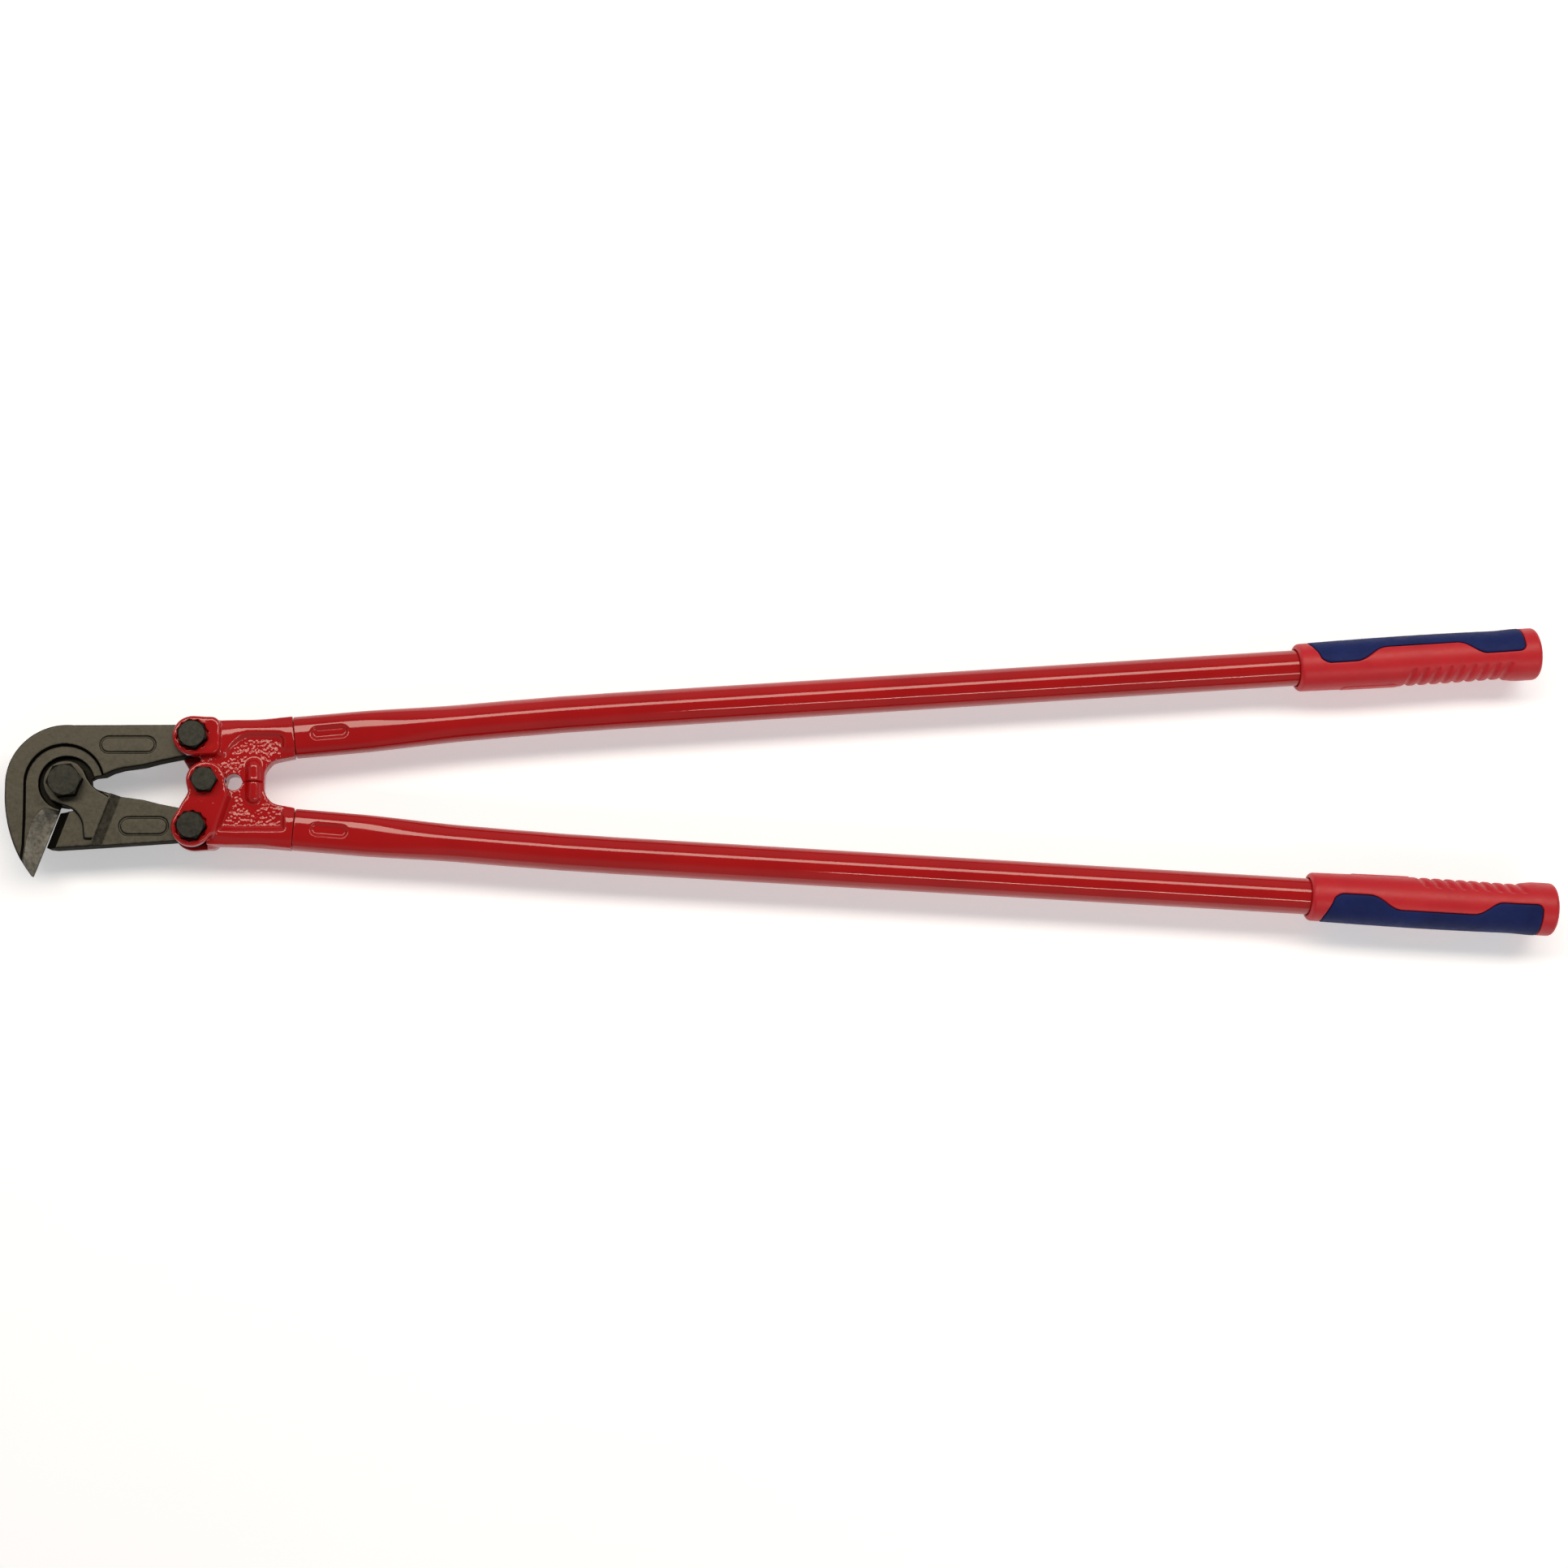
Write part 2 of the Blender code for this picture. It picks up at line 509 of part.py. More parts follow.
def make_lever(name, parent, side, bolt_turn, finish):
    """One lever casting; side is 1 for the upper lever, or -1 for the lower one."""
    adjuster = (-ADJUSTER_AHEAD, ADJUSTER_SIDE, 0)
    lever = plate(name, web_outline(), -WEB_HALF, WEB_HALF, parent)
    rim = plate(name + "_rim", rim_outline(), -RIM_HALF, RIM_HALF, parent)
    boss = plate(name + "_boss", boss_outline(), WEB_HALF - 1.5 * MM, BOSS_HALF, parent, adjuster)
    link = plate(name + "_link", link_outline(), -BOSS_HALF, -WEB_HALF + 0.5 * MM, parent)
    centre = cylinder(name + "_centre_boss", CENTRE_BOSS_RADIUS - 2 * INSET, -BOSS_HALF + 1 * MM, -LAP, parent)
    added = [rim, boss, link, centre, stop_boss(name + "_stop", parent), spigot(name + "_spigot", parent)]
    slot = plate(name + "_slot", slot_outline(), -JAW_HALF - GAP, JAW_HALF + GAP, parent, adjuster)
    lap = cylinder(name + "_lap", CENTRE_BOSS_RADIUS + RUNNING, -LAP, BOSS_HALF + 8 * MM, parent)
    eyelet = cylinder(name + "_eyelet", EYELET_RADIUS, -20 * MM, 20 * MM, parent, (EYELET_PLACE, 0, 0))
    centre_bore = cylinder(name + "_centre_bore", CENTRE_SHANK + GAP, -20 * MM, 20 * MM, parent,
                           sides=SMALL_SIDES)
    bore = cylinder(name + "_bore", ADJUSTER_SHANK + GAP, -20 * MM, 20 * MM, parent, adjuster, SMALL_SIDES)
    floor = BOSS_HALF - RECESS_DEPTH
    radius = ADJUSTER_FLATS / math.sqrt(3) + GAP * 2
    levels = (floor, floor + 8 * MM) if side > 0 else (-floor - 8 * MM, -floor)
    recess = plate(name + "_recess", star_points(radius, bolt_turn * side), *levels, parent, adjuster)
    removed = [slot, lap, eyelet, centre_bore, bore, recess]
    if side < 0:
        turn_over([lever, *added, *removed])
    join(lever, *added)
    cut(lever, *removed)
    paint(finish, lever)


# Handles

def tube_section(distance):
    """Half width and half depth of the tube at this distance from the seam."""
    share = min(1, max(0, (distance - SPIGOT_LENGTH) / (FRONT_RUN - BEND_LENGTH - SPIGOT_LENGTH)))
    ease = share * share * (3 - 2 * share)
    width = OVAL_HALF_WIDTH + (TUBE_RADIUS - OVAL_HALF_WIDTH) * ease
    return width, OVAL_HALF_DEPTH + (TUBE_RADIUS - OVAL_HALF_DEPTH) * ease


def tube_point(distance):
    """Place and direction on the tube's middle line, with an even bend between the two straight runs."""
    bend = (distance - FRONT_RUN) / BEND_LENGTH + 0.5
    share = min(1, max(0, bend))
    slope = FRONT_SLOPE + (REAR_SLOPE - FRONT_SLOPE) * share
    start = Vector((SEAM_PLACE, SEAM_SIDE))
    first = Vector((math.cos(FRONT_SLOPE), math.sin(FRONT_SLOPE)))
    second = Vector((math.cos(REAR_SLOPE), math.sin(REAR_SLOPE)))
    place = start + first * min(distance, FRONT_RUN) + second * max(distance - FRONT_RUN, 0)
    sag = (first - second) * BEND_LENGTH / 2 * max(0, 0.25 - (share - 0.5) ** 2)
    return place - sag, slope


def make_tube(name, parent, finish):
    end = FRONT_RUN + REAR_RUN + GRIP_LENGTH - GRIP_END_WALL - GAP
    bend_start = FRONT_RUN - BEND_LENGTH / 2
    places = [GAP, SPIGOT_LENGTH] + [SPIGOT_LENGTH + 58 * MM * step / 3 for step in (1, 2, 3)]
    places += [bend_start + BEND_LENGTH * step / 4 for step in range(5)] + [end]
    stations = []
    for distance in places:
        centre, slope = tube_point(distance)
        stations.append((tuple(centre), (-math.sin(slope), math.cos(slope)), *tube_section(distance)))
    tube = loft(name, stations, parent, TUBE_SIDES, TUBE_WALL)
    paint(finish, tube)


def grip_radius(distance):
    """Outer radius of the grip at this distance from its front."""
    waist = GRIP_LENGTH * 0.82
    if distance < waist:
        share = distance / waist
        return GRIP_FRONT_RADIUS + (GRIP_PALM_RADIUS - GRIP_FRONT_RADIUS) * math.sin(share * 2.6)
    share = min(1, (distance - waist) / (GRIP_LENGTH * 0.1))
    low = GRIP_FRONT_RADIUS + (GRIP_PALM_RADIUS - GRIP_FRONT_RADIUS) * math.sin(2.6)
    return low + (GRIP_END_RADIUS - low) * share * share * (3 - 2 * share)


def grip_side(offset):
    """Outer side of the grip, from the rear to the front, moved out by offset."""
    rear = GRIP_LENGTH - GRIP_END_ROUND
    places = [rear - (rear - 1.5 * MM) * step / 12 for step in range(13)]
    return [(grip_radius(place) + offset, place) for place in places]


def soft_zone(offset):
    """Outline of the soft inlay seen from the front: distance along the grip and side, grown by offset."""
    lobe = INLAY_LOBE_SIDE - offset
    waist = INLAY_WAIST_SIDE - offset
    start = 13 * MM - offset
    end = GRIP_LENGTH - 19.5 * MM + offset
    top = GRIP_END_RADIUS + 6 * MM
    return [(start, top), (start + 2 * MM, lobe + 4.5 * MM), (start + 8 * MM, lobe),
            (42 * MM + offset, lobe), (56 * MM + offset, waist), (104 * MM - offset, waist),
            (117 * MM - offset, lobe), (end - 5 * MM, lobe), (end, lobe + 3 * MM), (end, top)]


def zone_cutter(name, parent, offset):
    """Prism over the soft inlay's outline, laid along the grip."""
    outline = [(side, distance) for distance, side in soft_zone(offset)]
    zone = plate(name, outline, -30 * MM, 30 * MM, parent)
    zone.data.transform(Matrix(((0, 0, 1, 0), (1, 0, 0, 0), (0, 1, 0, 0), (0, 0, 0, 1))))
    return zone


def make_grip(name, parent, hard, soft):
    """Grip with its soft inlay on the outer side. Z of the holder runs along the handle, Y points out."""
    bore = TUBE_RADIUS + GAP
    rear = GRIP_LENGTH
    floor = GRIP_LENGTH - GRIP_END_WALL
    corner = GRIP_END_ROUND * 0.29
    profile = [(0, rear), (GRIP_END_RADIUS - GRIP_END_ROUND, rear), (GRIP_END_RADIUS - corner, rear - corner)]
    profile += grip_side(0)
    profile += [(GRIP_FRONT_RADIUS - 1 * MM, 0), (bore, 0), (bore, floor), (0, floor)]
    grip = turned(name, profile, parent)
    outer = [(radius, place) for radius, place in grip_side(0) if 6 * MM < place < rear - 8 * MM]
    under = [(radius - INLAY_DEPTH, place) for radius, place in reversed(outer)]
    inlay = turned(name + "_inlay", outer + under, parent, closed=True)
    proud = [(radius + 4 * MM, place) for radius, place in outer]
    deeper = [(radius - INLAY_DEPTH - GAP, place) for radius, place in reversed(outer)]
    pocket = turned(name + "_pocket", proud + deeper, parent, closed=True)
    combine(pocket, zone_cutter(name + "_pocket_zone", parent, GAP), "INTERSECT")
    combine(inlay, zone_cutter(name + "_inlay_zone", parent, 0), "INTERSECT")
    cut(grip, pocket)
    paint(hard, grip)
    paint(soft, inlay)


# Fasteners

def hexagon(name, flats, low, high, parent, place, turn_degrees, top=True, bottom=False):
    """Hexagonal prism with its corners turned off at the ends that are asked for."""
    corner = flats / math.sqrt(3)
    outline = arc((0, 0), corner, turn_degrees, turn_degrees + 300, 5)
    prism = plate(name, outline, low, high, parent, place)
    inside = flats / 2 * CHAMFER_CIRCLE - 1 * MM
    outside = corner + 1 * MM
    above = high + CHAMFER_RISE * 1 * MM
    below = low - CHAMFER_RISE * 1 * MM
    fall = CHAMFER_RISE * (outside - inside)
    profile = [(0, above), (inside, above), (outside, above - fall)] if top else [(0, above), (outside, above)]
    profile += [(outside, below + fall), (inside, below), (0, below)] if bottom else [(outside, below), (0, below)]
    combine(prism, turned(name + "_chamfer", profile, parent, place, sides=SMALL_SIDES), "INTERSECT")
    return prism


def washer(name, hole, outer, high, parent, place, finish):
    profile = [(outer, high), (outer, high - WASHER_THICKNESS), (hole, high - WASHER_THICKNESS), (hole, high)]
    ring = turned(name, profile, parent, place, sides=SMALL_SIDES, closed=True)
    paint(finish, ring)


def fastener(name, parent, place, flats, head_low, head_height, shank, thread, back, turn, finish, reach=None):
    """Bolt from the front with a washer and a nut behind; back is the surface that the washer faces."""
    washer_high = back - GAP
    nut_high = washer_high - WASHER_THICKNESS - GAP
    nut_low = nut_high - thread * 2 * NUT_SHARE
    bolt = hexagon(name, flats, head_low, head_low + head_height, parent, place, turn)
    shoulder = back if thread < shank else nut_low - TAIL
    join(bolt, cylinder(name + "_shank", shank, shoulder, head_low + 1 * MM, parent, place, SMALL_SIDES))
    if thread < shank:
        join(bolt, cylinder(name + "_thread", thread, nut_low - TAIL, shoulder + 1 * MM, parent, place,
                            SMALL_SIDES))
    washer(name + "_washer", thread + GAP, reach or flats / math.sqrt(3) + 1 * MM, washer_high, parent, place,
           finish)
    nut = hexagon(name + "_nut", flats, nut_low, nut_high, parent, place, turn + NUT_TURN, False, True)
    cut(nut, cylinder(name + "_nut_bore", thread + GAP, nut_low - 1 * MM, nut_high + 1 * MM, parent, place,
                      SMALL_SIDES))
    paint(finish, bolt, nut)
    return nut_low - TAIL


# Assembly

def build():
    red_paint = material("red_paint", (0.48, 0.012, 0.012), 0.28, 0.0)
    jaw_steel = material("phosphated_steel", (0.065, 0.062, 0.048), 0.5, 0.6)
    bolt_steel = material("dark_bolt_steel", (0.05, 0.055, 0.045), 0.45, 0.6)
    red_plastic = material("red_plastic", (0.7, 0.016, 0.03), 0.4, 0.0)
    blue_rubber = material("blue_rubber", (0.018, 0.03, 0.14), 0.75, 0.0)
    rear_nut = -BOSS_HALF - 2 * GAP - WASHER_THICKNESS
    lowest = rear_nut - ADJUSTER_THREAD * 2 * NUT_SHARE - TAIL
    grip_end = tube_point(FRONT_RUN + REAR_RUN + GRIP_LENGTH)[0].x
    grip_end += (GRIP_END_RADIUS - GRIP_END_ROUND) * math.sin(REAR_SLOPE)
    head_end = -JAW_PIVOT_AHEAD - HOOK_BACK_RADIUS
    middle = (grip_end + head_end) / 2
    root = empty("bolt_cutter", (-middle, 0, -lowest))
    sides = (("upper", 1), ("lower", -1))
    for label, side in sides:
        turn = (0, 0, 0) if side > 0 else (math.pi, 0, 0)
        holder = empty(label + "_handle", (0, 0, 0), root, turn)
        make_lever(label + "_lever", root, side, BOLT_TURN[label], red_paint)
        make_tube(label + "_tube", holder, red_paint)
        start, slope = tube_point(FRONT_RUN + REAR_RUN)
        along = Matrix.Rotation(slope, 4, "Z") @ Matrix(((0, 0, 1, 0), (0, 1, 0, 0), (-1, 0, 0, 0), (0, 0, 0, 1)))
        grip_holder = empty(label + "_grip_axis", (start.x, start.y, 0), holder, along.to_euler())
        make_grip(label + "_grip", grip_holder, red_plastic, blue_rubber)
        hinge = empty(label + "_adjuster_axis", (-ADJUSTER_AHEAD, side * ADJUSTER_SIDE, 0), root)
        fastener(label + "_adjuster", hinge, (0, 0, 0), ADJUSTER_FLATS, BOSS_HALF - RECESS_DEPTH + GAP,
                 ADJUSTER_HEAD, ADJUSTER_SHANK, ADJUSTER_THREAD, -BOSS_HALF, BOLT_TURN[label], bolt_steel)
        if side > 0:
            jaw, back_bevel = make_hook_jaw(hinge, jaw_steel)
            cut(jaw, back_bevel)
        else:
            make_lower_jaw(hinge, jaw_steel)
    fastener("centre_bolt", root, (0, 0, 0), CENTRE_FLATS, BOSS_HALF + GAP, CENTRE_HEAD, CENTRE_SHANK,
             CENTRE_SHANK, -BOSS_HALF, 0, bolt_steel)
    jaw_place = (-JAW_PIVOT_AHEAD, 0, 0)
    fastener("jaw_bolt", root, jaw_place, JAW_FLATS, CHEEK_TOP + GAP, JAW_HEAD, JAW_SHANK, JAW_SHANK,
             -JAW_HALF, JAW_BOLT_TURN, bolt_steel, HUB_RADIUS - 0.7 * MM)


def clear_scene():
    for old in list(bpy.data.objects):
        bpy.data.objects.remove(old, do_unlink=True)


clear_scene()
MODEL = bpy.data.collections.new("bolt_cutter")
CUTTERS = bpy.data.collections.new("cutters")
bpy.context.scene.collection.children.link(MODEL)
bpy.context.scene.collection.children.link(CUTTERS)
build()
bpy.context.view_layer.update()
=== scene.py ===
"""Looks of the bolt cutter. Cast, forged and moulded pieces are made as distance fields and skinned, the
tubes are lofted, and the turned and hexagonal fasteners stay as they are in the frame."""

import json
import math

import bmesh
import bpy
import numpy as np
from mathutils import Matrix, Vector


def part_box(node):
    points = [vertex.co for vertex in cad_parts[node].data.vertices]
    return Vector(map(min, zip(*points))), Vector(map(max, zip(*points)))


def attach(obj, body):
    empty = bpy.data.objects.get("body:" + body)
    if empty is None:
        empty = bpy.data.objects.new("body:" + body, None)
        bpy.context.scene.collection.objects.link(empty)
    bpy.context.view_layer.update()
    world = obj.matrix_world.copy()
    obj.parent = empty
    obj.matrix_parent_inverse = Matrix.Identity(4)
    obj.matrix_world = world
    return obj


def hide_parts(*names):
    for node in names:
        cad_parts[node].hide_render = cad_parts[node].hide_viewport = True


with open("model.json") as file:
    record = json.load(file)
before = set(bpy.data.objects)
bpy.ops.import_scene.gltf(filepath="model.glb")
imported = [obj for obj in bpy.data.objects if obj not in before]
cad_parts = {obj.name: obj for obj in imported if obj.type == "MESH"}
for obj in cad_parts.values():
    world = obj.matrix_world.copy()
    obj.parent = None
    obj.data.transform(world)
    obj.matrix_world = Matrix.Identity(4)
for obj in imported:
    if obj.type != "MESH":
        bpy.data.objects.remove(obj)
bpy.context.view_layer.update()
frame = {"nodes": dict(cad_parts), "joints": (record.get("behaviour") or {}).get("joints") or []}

MM = 0.001
HINGES = {joint["name"]: Vector(joint["pos_m"]) for joint in frame["joints"]}
CENTRE = HINGES["handle_hinge"]
UPPER_ADJUSTER = HINGES["hook_jaw_hinge"]
AHEAD = CENTRE.x - UPPER_ADJUSTER.x
ASIDE = UPPER_ADJUSTER.y
JAW_BOLT_LOW, JAW_BOLT_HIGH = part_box("jaw_bolt_washer")
JAW_PIVOT = CENTRE.x - (JAW_BOLT_LOW.x + JAW_BOLT_HIGH.x) / 2
SEED = 7
FAR = 1                         # a level outside every piece
STEEL_CELL = 0.36 * MM          # cells of the skinned castings and forgings
GRIP_CELL = 0.42 * MM

# Sizes that the frame's pieces keep, drawn from the centre bolt or the jaw bolt
LAP = 0.15 * MM
GAP = 0.3 * MM
JAW_HALF = 6.5 * MM
CHEEK_TOP = 8.4 * MM
HOOK_INNER_TOP = 4.0 * MM
BOSS_HALF = 13.0 * MM
RIM_HALF = 9.8 * MM
WEB_HALF = 6.6 * MM
BOSS_RADIUS = 12 * MM
STOP_PLACE = 28.5 * MM
EYE_RADIUS = 10.5 * MM
JAW_HUB_RADIUS = 17.6 * MM
WIDE_HOLE_RADIUS = 9.1 * MM     # hole of the hook jaw, with room for the open pivot
M12_HOLE_RADIUS = 6.3 * MM
M10_HOLE_RADIUS = 5.3 * MM
EDGE_SLOPE = 0.358              # lean of the cutting edges
EDGE_LAND = 0.35 * MM           # what is left of the blade's thickness at its edge
OVAL_HALF_WIDTH = 12.65 * MM
OVAL_HALF_DEPTH = 9.75 * MM
TUBE_RADIUS = 11.3 * MM
TUBE_WALL = 2.0 * MM
SEAM = (52.3 * MM, 28.1 * MM)
FRONT_RUN = 161.7 * MM
REAR_RUN = 462.5 * MM
FRONT_SLOPE = math.radians(5.2)
REAR_SLOPE = math.radians(3.7)
BEND_LENGTH = 60 * MM
SPIGOT_LENGTH = 44 * MM
GRIP_LENGTH = 156.9 * MM
GRIP_FRONT_RADIUS = 15.0 * MM
GRIP_PALM_RADIUS = 15.9 * MM
GRIP_END_RADIUS = 17.2 * MM
GRIP_END_WALL = 6 * MM
INLAY_DEPTH = 1.8 * MM


# Distance fields

class Grid:
    """Sample points of a field, in metres, as three arrays that broadcast against each other."""

    def __init__(self, low, high, step):
        counts = [int(math.ceil((h - l) / step)) + 1 for l, h in zip(low, high)]
        axes = [l + step * np.arange(n) for l, n in zip(low, counts)]
        self.x = axes[0][:, None, None]
        self.y = axes[1][None, :, None]
        self.z = axes[2][None, None, :]
        self.low = np.array(low)
        self.step = step
        self.shape = tuple(counts)


def arc(centre, radius, start, end, steps=20):
    """Points on an arc between two angles in degrees."""
    angles = [math.radians(start + (end - start) * step / steps) for step in range(steps + 1)]
    return [(centre[0] + radius * math.cos(a), centre[1] + radius * math.sin(a)) for a in angles]


def shifted(points, by):
    return [(x + by[0], y + by[1]) for x, y in points]


def outline_field(u, v, points):
    """Signed distance to a closed outline, negative inside; u and v are arrays of places."""
    u, v = np.broadcast_arrays(u, v)
    nearest = np.full(u.shape, 1e9)
    inside = np.zeros(u.shape, bool)
    for (ax, ay), (bx, by) in zip(points, points[1:] + points[:1]):
        ex, ey = bx - ax, by - ay
        wx, wy = u - ax, v - ay
        share = np.clip((wx * ex + wy * ey) / max(ex * ex + ey * ey, 1e-18), 0, 1)
        nearest = np.minimum(nearest, (wx - ex * share) ** 2 + (wy - ey * share) ** 2)
        if ay != by:
            crosses = ((ay <= v) != (by <= v)) & (u < ax + ex * (v - ay) / ey)
            inside ^= crosses
    return np.sqrt(nearest) * np.where(inside, -1, 1)


def both(a, b, radius=0.0):
    """Where both fields are solid, with an outer edge of this radius."""
    if not radius:
        return np.maximum(a, b)
    round_part = np.hypot(np.maximum(a + radius, 0), np.maximum(b + radius, 0)) - radius
    return np.where(np.maximum(a, b) > -radius, round_part, np.maximum(a, b))


def either(a, b, radius=0.0):
    """Where one field is solid, with a fillet of this radius between them."""
    return -both(-a, -b, radius)


def less(a, b, radius=0.0):
    """The first field with the second taken out of it."""
    return both(a, -b, radius)


def slab(values, low, high):
    return np.maximum(low - values, values - high)


def prism(grid, points, low, high, radius=0.0):
    return both(outline_field(grid.x, grid.y, points), slab(grid.z, low, high), radius)


def disc(grid, centre, size, low=-FAR, high=FAR):
    return both(np.hypot(grid.x - centre[0], grid.y - centre[1]) - size, slab(grid.z, low, high))


def softened(field, passes):
    """The field blurred over a few cells, which rounds edges and fills corners as in a casting."""
    for _ in range(passes):
        for axis in range(3):
            field = (np.roll(field, 1, axis) + 2 * field + np.roll(field, -1, axis)) / 4
    return field


def lumps(grid, size, seed):
    """Smooth random bumps from -1 to 1, about this size apart."""
    counts = [int(n * grid.step / size) + 3 for n in grid.shape]
    values = np.random.default_rng(seed).uniform(-1, 1, counts)
    for axis, count in enumerate(grid.shape):
        places = np.arange(count) * grid.step / size
        cell = places.astype(int)
        share = places - cell
        share = share * share * (3 - 2 * share)
        shape = [1, 1, 1]
        shape[axis] = count
        share = share.reshape(shape)
        values = np.take(values, cell, axis) * (1 - share) + np.take(values, cell + 1, axis) * share
    return values


CORNERS = [(i, j, k) for i in (0, 1) for j in (0, 1) for k in (0, 1)]
CELL_EDGES = [(a, b) for a in range(8) for b in range(a + 1, 8)
              if sum(abs(p - q) for p, q in zip(CORNERS[a], CORNERS[b])) == 1]


def skin(name, field, grid):
    """Closed mesh on the zero level of the field, one point in each cell that the surface crosses."""
    inside = field < 0
    spans = [slice(None, -1), slice(1, None)]
    corners = [inside[spans[i], spans[j], spans[k]] for i, j, k in CORNERS]
    count = sum(c.astype(np.int8) for c in corners)
    mixed = (count > 0) & (count < 8)
    cells = np.argwhere(mixed)
    index = np.full(mixed.shape, -1)
    index[mixed] = np.arange(len(cells))
    values = [field[cells[:, 0] + i, cells[:, 1] + j, cells[:, 2] + k] for i, j, k in CORNERS]
    total = np.zeros((len(cells), 3))
    hits = np.zeros(len(cells))
    for a, b in CELL_EDGES:
        crossed = (values[a] < 0) != (values[b] < 0)
        share = values[a][crossed] / (values[a][crossed] - values[b][crossed])
        start, end = np.array(CORNERS[a]), np.array(CORNERS[b])
        total[crossed] += start + share[:, None] * (end - start)
        hits[crossed] += 1
    points = (cells + total / hits[:, None]) * grid.step + grid.low
    quads = []
    for axis in range(3):
        u, v = [other for other in range(3) if other != axis]
        before = np.take(inside, range(field.shape[axis] - 1), axis)
        after = np.take(inside, range(1, field.shape[axis]), axis)
        changed = np.argwhere(before != after)
        enters = before[tuple(changed.T)]
        ring = []
        for du, dv in ((-1, -1), (0, -1), (0, 0), (-1, 0)):
            place = changed.copy()
            place[:, u] += du
            place[:, v] += dv
            ring.append(index[tuple(place.T)])
        ring = np.stack(ring, 1)
        flip = enters if axis != 1 else ~enters
        ring[~flip] = ring[~flip][:, ::-1]
        quads.append(ring)
    mesh = bpy.data.meshes.new(name)
    mesh.from_pydata(points.tolist(), [], np.concatenate(quads).tolist())
    mesh.validate()
    mesh.shade_smooth()
    return mesh


def piece(name, mesh, matrix, body, slot, finish, *nodes):
    """Puts a mesh in the scene, in place of these frame nodes."""
    mesh.transform(matrix)
    if matrix.determinant() < 0:
        mesh.flip_normals()
    shown = bpy.data.objects.new(name, mesh)
    bpy.context.scene.collection.objects.link(shown)
    shown.data.materials.clear()
    shown.data.materials.append(finish)
    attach(shown, body)
    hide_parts(*nodes)
    return shown


def evened(shown):
    """Takes the last cell steps out of a skinned surface."""
    smooth = shown.modifiers.new("even", "SMOOTH")
    smooth.factor = 0.5
    smooth.iterations = 1


# Materials

WALL_SHADE = 0.62               # how far steel on walls and in recesses drops on its colour ramp, as painted shade


def nodes_of(name):
    finish = bpy.data.materials.new(name)
    finish.use_nodes = True
    tree = finish.node_tree
    return finish, tree, tree.nodes["Principled BSDF"]


def noise(tree, scale, detail=4.0, roughness=0.55):
    """Noise laid out in metres of the object's own space."""
    where = tree.nodes.new("ShaderNodeTexCoord")
    texture = tree.nodes.new("ShaderNodeTexNoise")
    texture.inputs["Scale"].default_value = scale
    texture.inputs["Detail"].default_value = detail
    texture.inputs["Roughness"].default_value = roughness
    tree.links.new(where.outputs["Object"], texture.inputs["Vector"])
    return texture.outputs["Fac"]


def ramp(tree, factor, low, high, start, end):
    """Colour that runs from low to high as the factor goes from start to end."""
    band = tree.nodes.new("ShaderNodeValToRGB")
    band.color_ramp.elements[0].position = start
    band.color_ramp.elements[0].color = (*low, 1)
    band.color_ramp.elements[1].position = end
    band.color_ramp.elements[1].color = (*high, 1)
    tree.links.new(factor, band.inputs["Fac"])
    return band.outputs["Color"]


def spread(tree, factor, low, high):
    """Number that runs from low to high with the factor."""
    change = tree.nodes.new("ShaderNodeMapRange")
    change.inputs["From Min"].default_value = 0.3
    change.inputs["From Max"].default_value = 0.7
    change.inputs["To Min"].default_value = low
    change.inputs["To Max"].default_value = high
    tree.links.new(factor, change.inputs["Value"])
    return change.outputs["Result"]


def bumps(tree, shader, layers):
    """Chain of bump nodes; each layer is (height, strength, distance)."""
    normal = None
    for height, strength, distance in layers:
        bump = tree.nodes.new("ShaderNodeBump")
        bump.inputs["Strength"].default_value = strength
        bump.inputs["Distance"].default_value = distance
        tree.links.new(height, bump.inputs["Height"])
        if normal:
            tree.links.new(normal, bump.inputs["Normal"])
        normal = bump.outputs["Normal"]
    tree.links.new(normal, shader.inputs["Normal"])


def lacquer(name, grain, ripple):
    """Glossy red lacquer over a plain red ground; grain and ripple are the depths of its unevenness."""
    finish, tree, shader = nodes_of(name)
    tint = ramp(tree, noise(tree, 22), (0.335, 0.0042, 0.0055), (0.395, 0.0062, 0.0072), 0.3, 0.7)
    tree.links.new(tint, shader.inputs["Base Color"])
    tree.links.new(spread(tree, noise(tree, 160), 0.42, 0.6), shader.inputs["Roughness"])
    shader.inputs["Specular IOR Level"].default_value = 0.0
    shader.inputs["Coat Weight"].default_value = 1.0
    shader.inputs["Coat Roughness"].default_value = 0.06
    shader.inputs["Coat IOR"].default_value = 1.5
    bumps(tree, shader, [(noise(tree, 55, 2), 0.4, ripple), (noise(tree, 380, 3), 0.3, grain)])
    shader_normal = shader.inputs["Normal"].links[0].from_socket
    tree.links.new(shader_normal, shader.inputs["Coat Normal"])
    return finish


def number(tree, operation, one, two=0):
    """Result of this operation on two values, each a number or a socket."""
    step = tree.nodes.new("ShaderNodeMath")
    step.operation = operation
    for socket, value in zip(step.inputs, (one, two)):
        if isinstance(value, (int, float)):
            socket.default_value = value
        else:
            tree.links.new(value, socket)
    return step.outputs["Value"]


def eased(tree, value, start, end):
    """Number that eases from 0 to 1 as the value goes from start to end."""
    change = tree.nodes.new("ShaderNodeMapRange")
    change.interpolation_type = "SMOOTHSTEP"
    change.inputs["From Min"].default_value = start
    change.inputs["From Max"].default_value = end
    tree.links.new(value, change.inputs["Value"])
    return change.outputs["Result"]


